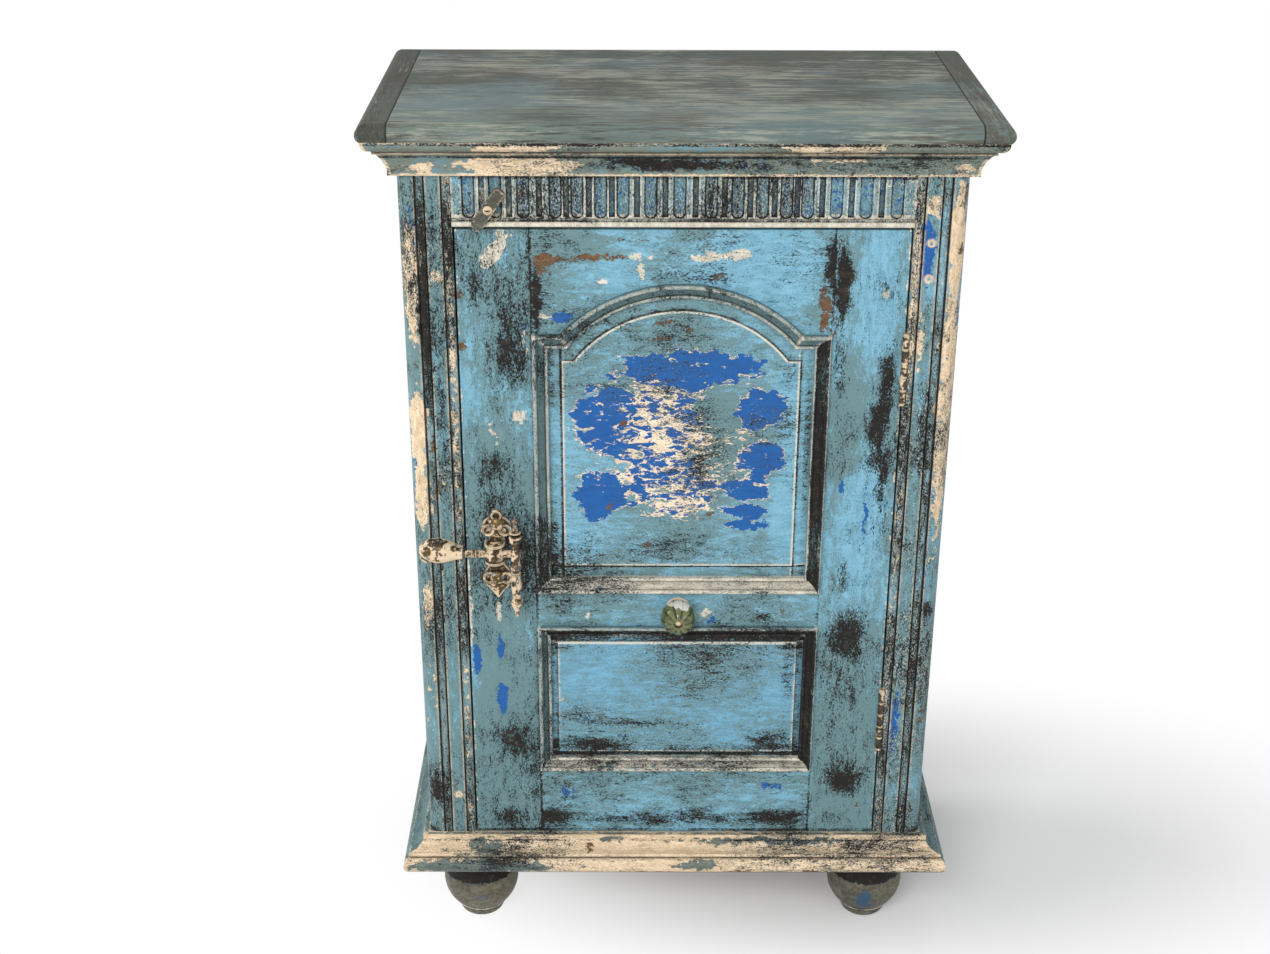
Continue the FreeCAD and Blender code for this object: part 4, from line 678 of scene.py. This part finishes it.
def weathered(node, grain, brown=0.0, pale=0.0, dirt=TOP_BROWN):
    """The top: a grey-green wash worn into long streaks, with pale scrapes and dark checks, and painted
    lighter in front and darker at the back.
    """
    finish = Finish(node + "_wash")
    run = by_grain(grain, WASH_ALONG, WASH_ACROSS)
    long = finish.noises(run, WASH_SHIFT, **LONG_STREAKS)
    fine = finish.noises(run * WASH_FINER, WASH_SHIFT, **FINE_STREAKS)
    clouds = finish.noises(WASH_CLOUDS, WASH_SHIFT)
    joint = abs(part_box("top_cleat_left")[1].x)
    from_joint = finish.apart(finish.math("ABSOLUTE", finish.axis("X")), joint)

    def weighed(first, second, weights):
        return finish.total(finish.times(first, weights[0]), finish.times(second, weights[1]))

    def streaked(index, *more):
        cloud = finish.times(finish.less(clouds[index], NOISE_MIDDLE), CLOUD_WEIGHT)
        return finish.total(weighed(long[index], fine[index], STREAK_WEIGHTS), cloud, *more)

    edge = finish.times(finish.shelter(EDGE_REACH, inside=True), finish.times(fine[2], EDGE_PALE))
    edge = finish.times(edge, finish.step(from_joint, *(reach * MM for reach in EDGE_FROM_JOINT)))
    # Painted light: the top is lighter in front and darker at the back
    lit_front = finish.step(finish.axis("Y"), *FRONT_LIGHT_BACK_SHADE)
    blue = finish.less(clouds[2], finish.times(long[0], BLUE_BREAKS))
    check = weighed(fine[0], long[1], CHECK_WEIGHTS)
    line = finish.step(from_joint, *(reach * MM for reach in JOINT_LINE), JOINT_DARK, 0.0)
    dark = finish.most(finish.step(check, *WASH_STEPS["check"]), line)
    colour = finish.mix(finish.step(streaked(2, lit_front), *WASH_STEPS["green"]), TOP_DARK, TOP_GREEN)
    colour = finish.mix(finish.step(blue, *WASH_STEPS["blue"]), colour, TOP_BLUE)
    colour = finish.mix(finish.step(streaked(1, brown), *WASH_STEPS["dirt"]), colour, dirt)
    colour = finish.mix(finish.step(streaked(0, pale, edge), *WASH_STEPS["pale"]), colour, TOP_PALE)
    colour = finish.mix(dark, colour, SOOT_AND_SHADE_SOFT)
    height = finish.less(finish.times(fine[1], WASH_SKIN), dark)
    roughness = finish.step(long[0], *WASH_ROUGHNESS)
    return finish.finish(colour, roughness, height, WASH_RELIEF, **WASH_SHINE)


# Bare timber: its rings and pores, the soft steps at which they show, and dark seams, in millimetres
TIMBER_SHIFT = (85.2, 85.91, 86.62)
TIMBER_ALONG = 6
TIMBER_ACROSS = 90
RINGS = dict(detail=5, distortion=1.2)
PORES = dict(detail=4, roughness=0.7)
PORES_FINER = 6
TIMBER_STEPS = {
    "rings": (0.32, 0.68),
    "pores": (0.5, 0.75, 0.0, 0.6),
    "dirt": (0.1, 0.8, 0.0, 0.7),
    "roughness": (0.3, 0.7, 0.6, 0.8),
}
CORNER_DARK_REACH = 14
SEAM = (0.8, 3.5)
SEAM_DARK = 0.85
RING_RELIEF = 0.5
TIMBER_RELIEF = 0.25
TIMBER_SHINE = {"Specular IOR Level": 0.3}


def timber(node, grain, seams=""):
    """Unpainted old wood with fine grain and wandering rings, darker in its corners and dark at its seams.
    """
    finish = Finish(node + "_wood")
    run = by_grain(grain, TIMBER_ALONG, TIMBER_ACROSS)
    rings = finish.noises(run, TIMBER_SHIFT, **RINGS)
    pores = finish.noises(run * PORES_FINER, TIMBER_SHIFT, **PORES)
    # The wood turns darker in its corners
    dirt = finish.shelter(CORNER_DARK_REACH)
    colour = finish.mix(finish.step(rings[0], *TIMBER_STEPS["rings"]), BARE_WOOD_DARK, BARE_WOOD)
    colour = finish.mix(finish.step(pores[0], *TIMBER_STEPS["pores"]), colour, WOOD_DARK)
    colour = finish.mix(finish.step(dirt, *TIMBER_STEPS["dirt"]), colour, SOOT_AND_SHADE_SOFT)
    if seams:
        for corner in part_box(node):
            gap = finish.apart(finish.axis(seams), corner["XYZ".index(seams)])
            seam = finish.step(gap, *(reach * MM for reach in SEAM), SEAM_DARK, 0.0)
            colour = finish.mix(seam, colour, SOOT_AND_SHADE_SOFT)
    height = finish.total(pores[0], finish.times(rings[0], RING_RELIEF))
    roughness = finish.step(rings[1], *TIMBER_STEPS["roughness"])
    return finish.finish(colour, roughness, height, TIMBER_RELIEF, **TIMBER_SHINE)


# Old hardware: its metal, what it tarnishes to, how much blue is on it and how fine its spots are
OLD_BRASS = dict(bare=BRASS, dark=BRASS_DARK, blue=-0.08, fineness=170)
OLD_IRON = dict(bare=IRON, dark=SOOT_AND_SHADE, blue=-0.2, fineness=260)
METAL_SHIFT = (34.8, 35.09, 35.38)
SPOTS = dict(detail=6, roughness=0.66)
BROAD_FINENESS = (60, 60, 60)
HOLLOW_REACH = 4
RUB_REACH = 1.6
METAL_STEPS = {
    "tarnish": (0.40, 0.66),
    "cream": (0.50, 0.54),
    "blue": (0.52, 0.56),
    "roughness": (0, 1, 0.36, 0.7),
    "metallic": (0, 1, 0.9, 0.5),
}
SPOT_SHARE = 0.5
RUB_PAINT = 0.35
HOLLOW_PAINT = -0.9
SPOT_RELIEF = 0.6
METAL_RELIEF = 0.25


def metal(node, left_on, bare, dark, blue, fineness):
    """Old hardware: dark in its hollows, rubbed bright at its edges, with paint left on it."""
    finish = Finish(node + "_metal")
    spots = finish.noises((fineness,) * 3, METAL_SHIFT, **SPOTS)
    broad = finish.noises(BROAD_FINENESS, METAL_SHIFT)
    hollow = finish.shelter(HOLLOW_REACH)
    rub = finish.shelter(RUB_REACH, inside=True)
    tarnish = finish.step(finish.total(broad[0], hollow), *METAL_STEPS["tarnish"])
    spotted = finish.times(finish.total(spots[0], broad[1]), SPOT_SHARE)
    creamy = finish.total(spotted, left_on, finish.times(rub, RUB_PAINT), finish.times(hollow, HOLLOW_PAINT))
    cream = finish.step(creamy, *METAL_STEPS["cream"])
    flecks = finish.step(finish.total(spots[1], blue), *METAL_STEPS["blue"])
    colour = finish.mix(tarnish, bare, dark)
    colour = finish.mix(flecks, colour, SKY_DEEP)
    colour = finish.mix(cream, colour, finish.mix(spots[2], CREAM_OLD, CREAM))
    covered = finish.most(cream, flecks)
    height = finish.total(covered, finish.times(spots[2], SPOT_RELIEF))
    roughness = finish.step(covered, *METAL_STEPS["roughness"])
    metallic = finish.times(finish.less(1.0, covered), finish.step(tarnish, *METAL_STEPS["metallic"]))
    return finish.finish(colour, roughness, height, METAL_RELIEF, Metallic=metallic)


# The knob's crown turns white from one height to the other: a painted highlight, with the glaze chipped off
# its white clay
KNOB_HIGHLIGHT = (0.410, 0.420)
MOTTLE_FINENESS = (90, 90, 90)
MOTTLE = dict(detail=5)
CLAY_FINENESS = (500, 500, 500)
CLAY = dict(detail=3)
GROOVE_REACH = 3
GLAZE_STEPS = {
    "groove": (0.02, 0.4),
    "mottle": (0.35, 0.65),
    "chipped_and_highlit": (1.66, 1.72),
    "roughness": (0.3, 0.7, 0.10, 0.22),
}
WHITE_CAP_UNEVENNESS = 2.0
GLAZE_SKIN = 0.4
GLAZE_RELIEF = 0.05
GLAZE_SHINE = {"Specular IOR Level": 0.6, "Coat Weight": 0.6, "Coat Roughness": 0.06}


def glazed(node):
    """Olive green glaze, darker in the grooves, and white at the crown: a painted highlight, with chips down
    to white clay.
    """
    finish = Finish(node + "_glaze")
    mottle = finish.noises(MOTTLE_FINENESS, **MOTTLE)
    clay = finish.noises(CLAY_FINENESS, **CLAY)
    groove = finish.step(finish.shelter(GROOVE_REACH), *GLAZE_STEPS["groove"])
    # Painted highlight: the crown turns white above a height, with the glaze chipped to clay
    crown = finish.step(finish.axis("Z"), *KNOB_HIGHLIGHT)
    chipped_and_highlit = finish.total(crown, finish.times(mottle[1], WHITE_CAP_UNEVENNESS))
    colour = finish.mix(finish.step(mottle[0], *GLAZE_STEPS["mottle"]), OLIVE, OLIVE_PALE)
    colour = finish.mix(groove, colour, OLIVE_DARK)
    colour = finish.mix(finish.step(chipped_and_highlit, *GLAZE_STEPS["chipped_and_highlit"]), colour,
                        finish.mix(clay[1], PUTTY_OLD, WHITE_CLAY_AND_HIGHLIGHT))
    roughness = finish.step(mottle[2], *GLAZE_STEPS["roughness"])
    return finish.finish(colour, roughness, finish.times(clay[1], GLAZE_SKIN), GLAZE_RELIEF, **GLAZE_SHINE)


def dress(node, material):
    """Gives a CAD piece its finish."""
    slots = nodes[node].material_slots
    if not slots:
        nodes[node].data.materials.append(material)
    for slot in slots:
        slot.material = material


def paint(node, grain, stripes=None, **changes):
    """Gives a CAD piece old paint, worn, and with painted shade and highlights, as its marks and stripes
    say.
    """
    dress(node, painted(node, grain, stripes or {}, **changes))


def camera():
    """The photograph's viewpoint."""
    data = bpy.data.cameras.new("camera")
    data.lens = LENS
    data.sensor_width = SENSOR_WIDTH
    eye = bpy.data.objects.new("camera", data)
    bpy.context.scene.collection.objects.link(eye)
    turn = Matrix.Rotation(math.radians(CAMERA_YAW), 4, "Z")
    turn = turn @ Matrix.Rotation(math.radians(CAMERA_TILT), 4, "X")
    turn = turn @ Matrix.Rotation(math.radians(CAMERA_ROLL), 4, "Z")
    eye.matrix_world = Matrix.Translation(CAMERA_PLACE) @ turn
    bpy.context.scene.camera = eye


def lamp(name, place, size, power):
    """A square soft lamp that faces the object."""
    data = bpy.data.lights.new(name, "AREA")
    data.size = size
    data.energy = power
    light = bpy.data.objects.new(name, data)
    bpy.context.scene.collection.objects.link(light)
    away = Vector(place) - Vector(LAMP_AIM)
    light.matrix_world = Matrix.Translation(place) @ away.to_track_quat("Z", "Y").to_matrix().to_4x4()


def seen_directly(tree):
    """A shader output that is 1 for camera, glossy and transmission rays, and 0 for the others."""
    path = tree.nodes.new("ShaderNodeLightPath")
    total = path.outputs["Is Camera Ray"]
    for kind in ("Is Glossy Ray", "Is Transmission Ray"):
        node = tree.nodes.new("ShaderNodeMath")
        node.operation = "MAXIMUM"
        tree.links.new(total, node.inputs[0])
        tree.links.new(path.outputs[kind], node.inputs[1])
        total = node.outputs[0]
    return total


def surround():
    """Even white light from all round, which shows as plain white behind the object."""
    world = bpy.data.worlds.new("surround")
    bpy.context.scene.world = world
    world.use_nodes = True
    tree = world.node_tree
    tree.nodes.clear()
    light = tree.nodes.new("ShaderNodeBackground")
    light.inputs["Color"].default_value = PLAIN_WHITE
    light.inputs["Strength"].default_value = SURROUND_LIGHT
    shown = tree.nodes.new("ShaderNodeBackground")
    shown.inputs["Color"].default_value = PLAIN_WHITE
    mix = tree.nodes.new("ShaderNodeMixShader")
    tree.links.new(seen_directly(tree), mix.inputs[0])
    tree.links.new(light.outputs[0], mix.inputs[1])
    tree.links.new(shown.outputs[0], mix.inputs[2])
    tree.links.new(mix.outputs[0], tree.nodes.new("ShaderNodeOutputWorld").inputs[0])


def studio_floor():
    """A pale floor that takes the object's shadow and runs out into white."""
    bpy.ops.object.select_all(action="DESELECT")
    bpy.ops.mesh.primitive_plane_add(size=2 * FLOOR_HALF, location=(0, 0, 0))
    floor = bpy.context.object
    floor.name = "floor"
    finish = Finish("pale_floor")
    direct = seen_directly(finish.tree)
    matt = finish.add("ShaderNodeBsdfDiffuse", {"Color": (FLOOR_GREY,) * 3 + (1,)})
    glow = finish.add("ShaderNodeEmission", {"Strength": finish.times(direct, FLOOR_LIFT)})
    near = finish.add("ShaderNodeAddShader", {0: matt, 1: glow})
    white = finish.add("ShaderNodeEmission", {"Strength": 1.0})
    stretch = Vector([1 / radius for radius in SHADE_RADII])
    reach = finish.length(finish.moved(stretch, -SHADE_MIDDLE * stretch))
    far = finish.times(finish.step(reach, *SHADE_FADE), direct)
    surface = finish.add("ShaderNodeMixShader", {0: far, 1: near, 2: white})
    finish.add("ShaderNodeOutputMaterial", {"Surface": surface})
    floor.data.materials.append(finish.material)


camera()
for lamp_name, lamp_values in LAMPS.items():
    lamp(lamp_name, *lamp_values)
surround()
studio_floor()

# Stripes of wear, painted shade and painted highlights along whole pieces, in millimetres from the
# middle and the floor: what shows, the axis or the arch, from, to, strength and, where it isn't the usual,
# softness.
FRIEZE_LINES = {
    "cream bead": ("cream", "Z", 799, 804.4, 0.80),
    "less soot on the bead": ("soot", "Z", 799, 804.4, -0.38),
    "dark line over the bead": ("soot", "Z", 804.6, 806.2, 0.16, 0.3),
    # Painted shade at the edges of the flutes and deep in them
    "painted shade at the flutes' edges": ("soot", "Y", -122.1, -120.8, 0.30, 0.2),
    "cream fillet": ("cream", "Z", 806.6, 811, 0.50),
    "cream face": ("cream", "Y", -130, -122.1, 0.26),
    "royal blue in the flutes": ("royal", "Y", -121.6, -100, 0.24),
    "sooty head": ("soot", "Z", 844, 849, 0.16),
    "soot deep in the flutes": ("soot", "Y", -119.5, -100, 0.06),
}
CORNICE_LINES = {
    "cream upper edge": ("cream", "Z", 870, 874, 0.16),
    "dark line under it": ("soot", "Z", 866, 868.5, 0.30),
    "cream lower edge": ("cream", "Z", 848, 851, 0.4),
    "dark line under the top": ("soot", "Z", 881, 884, 0.24),
}
BASE_LINES = {
    "brown foot": ("wood", "Z", 96, 98.6, 0.36),
    "brown line over the torus": ("wood", "Z", 111.4, 113.6, 0.44, 0.4),
    "dark line in the cove": ("soot", "Z", 125.6, 127.4, 0.14, 0.4),
}
BASE_PRIMER = {"primer all over": ("cream", "Z", 99, 133, 0.77)}
SIDE_MOULDING_LINES = {
    # Painted shade: the right-hand strips are dark
    "painted shade down the right length": ("soot", "X", 127, 139, 0.42),
    "left length": ("soot", "X", -138, -127.5, 0.06),
}
FOOT_MOULDING_LINES = {
    "cream under the lower panel": ("cream", "Z", 211, 226, 0.52),
    "dark over the lower panel": ("soot", "Z", 370, 381, 0.27),
    "cream under the upper panel": ("cream", "Z", 422, 438, 0.60),
}
LATHE_LINES = {
    # Painted shadow: the foot's neck is dark where the base above shades it
    "painted shadow under the base": ("soot", "Z", 57, 120, 1.0, 4.0),
    "cream ring": ("cream", "Z", 13.0, 16.0, 1.0, 0.4),
    "dark line over the ring": ("soot", "Z", 16.0, 18, 0.44, 0.5),
    "dark line under the ring": ("soot", "Z", 10.6, 12.8, 0.34, 0.5),
}
UPPER_FIELD_LINES = {
    # Painted shadows beside the field's raised edge, painted highlights along it, and painted shade at the
    # rims
    "painted shadow down the right": ("soot", "X", 112.6, 114.6, 0.26, 0.4),
    "painted shadow down the left": ("soot", "X", -115, -112.6, 0.34, 0.4),
    "painted shadow along the foot": ("soot", "Z", 447.4, 449.6, 0.34, 0.4),
    "painted shadow round the arch": ("soot", "arch", 127.4, 128.6, 0.20, 0.3),
    "painted highlight round the arch": ("chalk", "arch", 125.0, 127.3, 0.75, 0.3),
    "painted highlight down the right": ("chalk", "X", 110.6, 112.6, 0.44, 0.3),
    "painted highlight along the foot": ("chalk", "Z", 449.6, 451.2, 0.50, 0.3),
    "painted highlight down the left": ("chalk", "X", -112.6, -111.4, 0.20, 0.3),
    "painted shade at the left rim": ("soot", "X", -125.5, -119, 0.12, 2.0),
    "painted shade at the right rim": ("soot", "X", 119, 125.5, 0.16, 2.0),
}
LOWER_FIELD_LINES = {
    # Painted highlight along the field's head, painted shadow above it under the moulding, and painted shade
    # at the foot and rims
    "painted highlight along the head": ("chalk", "Z", 360.0, 363.0, 0.80, 0.3),
    "painted shadow under the head": ("soot", "Z", 363.4, 369, 0.30, 0.4),
    "shade below the pale line": ("soot", "Z", 354, 360, 0.12, 2.0),
    "painted shade along the foot": ("soot", "Z", 225.5, 231, 0.34, 0.5),
    "shade over the foot": ("soot", "Z", 232, 240, 0.14, 3.0),
    "painted shade at the right rim": ("soot", "X", 121, 127, 0.22, 0.6),
    "painted shade at the left rim": ("soot", "X", -127, -121, 0.18, 0.6),
    "shade at the right": ("soot", "X", 108, 120, 0.08, 3.0),
}
DOOR_ENDS = {
    "cream head": ("cream", "Z", 795, 797, 0.26),
    "brown head": ("wood", "Z", 792, 797, 0.16),
    "sooty foot": ("soot", "Z", 133, 137, 0.20),
}
RAIL_JOINTS = {
    "dark left joint": ("soot", "X", -141.5, -139, 0.22),
    "dark right joint": ("soot", "X", 139, 141.5, 0.22),
}
# Across a front post and a door stile, from the middle of the cupboard outwards
POST_BEAD = (210.5, 218.5)
POST_REED = (235.8, 242.0)
STILE_EDGE = (206.6, 209)
STILE_JOINT = (140, 141.4)


def mirrored(span, sign):
    """A span on the right, or with a sign of -1 on the left, from low to high."""
    return sorted(sign * end for end in span)


def post_lines(sign):
    """Stripes down a front post: a creamy bead by the door and fine cream lines on the reed."""
    bead = mirrored(POST_BEAD, sign)
    reed = mirrored(POST_REED, sign)
    return {
        "chalky bead": ("chalk", "X", *bead, 0.10, 1.5),
        "cream bead": ("cream", "X", *bead, 0.38, 1.5),
        "cream reed": ("cream", "X", *reed, 0.12, 1.0),
        "sooty bead": ("soot", "X", *bead, 0.15, 1.0),
        "sooty reed": ("soot", "X", *reed, 0.12, 1.0),
    }


def stile_lines(sign):
    """A worn outer edge down a door stile, and a dark line where the rails meet it."""
    return {
        "worn outer edge": ("cream", "X", *mirrored(STILE_EDGE, sign), 0.40),
        "dark joint": ("soot", "X", *mirrored(STILE_JOINT, sign), 0.22),
        **DOOR_ENDS,
    }


# Finishes that several pieces share, and where the left or one rail is worn more than the others
PUTTY_PRIMER = dict(primer=PUTTY, primer_old=PUTTY_OLD)
TEAL_COAT = dict(sky=TEAL, deep=TEAL_GREY)
SIDE_WEAR = {"left": 0.07, "right": 0.0}
CLEAT_WEAR = {"left": dict(brown=0.20, dirt=TOP_DIRT), "right": dict(brown=0.06, dirt=TOP_BROWN)}
RAIL_SOOT_AND_SHADE = {"door_top_rail": -0.30, "door_mid_rail": -0.30, "door_bottom_rail": -0.25}
LATCH_PAINT = {"latch_plate": 0.0, "latch_handle": 0.0, "latch_bolt": 0.0, "latch_keeper": 0.05}
IRON_PAINT = -0.02

for side, sign in (("left", -1), ("right", 1)):
    wear = SIDE_WEAR[side]
    paint("door_stile_" + side, "Z", stile_lines(sign), **PUTTY_PRIMER, face=DOOR_FACE, crest=0.0,
          chalk=-0.37, soot=-0.28 + wear, teal=0.02 + wear)
    paint("front_post_" + side, "Z", post_lines(sign), quirk=1.5, crest=2.6, chalk=-0.28, royal=-0.41,
          soot=-0.25 + wear, teal=0.06 + 3 * wear)
    paint("rear_post_" + side, "Z", **TEAL_COAT)
    paint("side_panel_" + side, "Z", **TEAL_COAT, soot=-0.24, royal=-0.44, cream=-0.41, wood=-0.48,
          chalk=-0.33, flake=70, stretch=1.8)
    paint("side_rails_" + side, "Y", **TEAL_COAT)
    paint("cornice_" + side, "Y", CORNICE_LINES, **TEAL_COAT)
    # The side base mouldings take darker grey coats: painted shade on the returns
    paint("base_moulding_" + side, "Y", BASE_LINES, sky=TEAL_GREY, deep=WASH_DEEP, soot=-0.2)
    dress("top_cleat_" + side, weathered("top_cleat_" + side, "Y", pale=-0.07, **CLEAT_WEAR[side]))
    for end in ("front", "rear"):
        paint(f"foot_{end}_{side}", "X", LATHE_LINES, **PUTTY_PRIMER, sky=FOOT_GREY, deep=FOOT_BROWN,
              tired=NAVY, across=240, along=110, quirk=1.2, teal=-0.30, chalk=-0.44, crest=0.5)
for rail, soot in RAIL_SOOT_AND_SHADE.items():
    paint(rail, "X", {**DOOR_ENDS, **RAIL_JOINTS}, **PUTTY_PRIMER, face=DOOR_FACE, crest=0.0, quirk=0.5,
          teal=0.0, soot=soot)
paint("upper_panel", "X", UPPER_FIELD_LINES, primer=FIELD_CREAM, primer_old=FIELD_CREAM_OLD,
      face=PANEL_FACE, torn=True, crest=2.4, quirk=1.0, flake=105, stretch=2.1, soot=-0.25, chalk=-0.34)
paint("lower_panel", "X", LOWER_FIELD_LINES, **PUTTY_PRIMER, sky=PANEL_SKY, deep=PANEL_DEEP,
      face=PANEL_FACE, crest=1.8, quirk=1.1, teal=-0.06, soot=-0.32)
for strip in ("upper_moulding_sides", "lower_moulding_sides"):
    paint(strip, "Z", SIDE_MOULDING_LINES, **TEAL_COAT, **PUTTY_PRIMER, crest=3.8, quirk=1.9, soot=-0.2)
for strip in ("upper_moulding_foot", "lower_moulding_rails"):
    paint(strip, "X", FOOT_MOULDING_LINES, **PUTTY_PRIMER, sky=TEAL, deep=SKY_DEEP, crest=3.8, quirk=2.1,
          cream=-0.36, soot=-0.22)
paint("upper_moulding_arch", "Y", **TEAL_COAT, **PUTTY_PRIMER, crest=3.8, quirk=2.2, soot=-0.18,
      across=400, along=400)
paint("frieze_rail", "Z", FRIEZE_LINES, **PUTTY_PRIMER, crest=3.6, quirk=1.0, soot=-0.21, teal=0.10,
      royal=-0.33, chalk=-0.17, flake=260)
paint("cornice_front", "X", CORNICE_LINES, sky=SKY_DEEP, deep=TEAL, tired=WASH, crest=2.0, quirk=1.5,
      soot=-0.24, teal=0.1, cream=-0.42, chalk=-0.33)
paint("base_moulding_front", "X", {**BASE_PRIMER, **BASE_LINES}, sky=WASH, deep=WASH_DEEP, tired=NAVY,
      crest=1.0, quirk=1.4, soot=-0.25, teal=-0.30, flake=240, stretch=1.6)
paint("bottom_rail", "X")
paint("post_pegs", "Y", cream=-0.1)
paint("turn_button", "Z", sky=FOOT_GREY, deep=IRON, tired=FOOT_BROWN, cream=-0.30, crest=0.6,
      royal=-0.34, teal=-0.1, soot=-0.23, across=300, along=300, flake=200)
dress("top_board", weathered("top_board", "X"))
for board in ("back_board_left", "back_board_middle", "back_board_right"):
    dress(board, timber(board, "Z", seams="X"))
for board in ("bottom_board", "shelf", "back_rails"):
    dress(board, timber(board, "X"))
dress("foot_blocks", timber("foot_blocks", "Z"))
dress("shelf_cleats", timber("shelf_cleats", "Y"))
dress("door_stop", timber("door_stop", "Z"))
for piece, left_on in LATCH_PAINT.items():
    dress(piece, metal(piece, left_on, **OLD_BRASS))
for piece in ("hinge_door_leaves", "hinge_post_leaves", "hinge_pins", "hinge_door_screws",
              "hinge_post_screws", "button_screw", "knob_collar", "knob_bolt"):
    dress(piece, metal(piece, IRON_PAINT, **OLD_IRON))
dress("knob", glazed("knob"))

bpy.context.scene.view_settings.view_transform = "Standard"
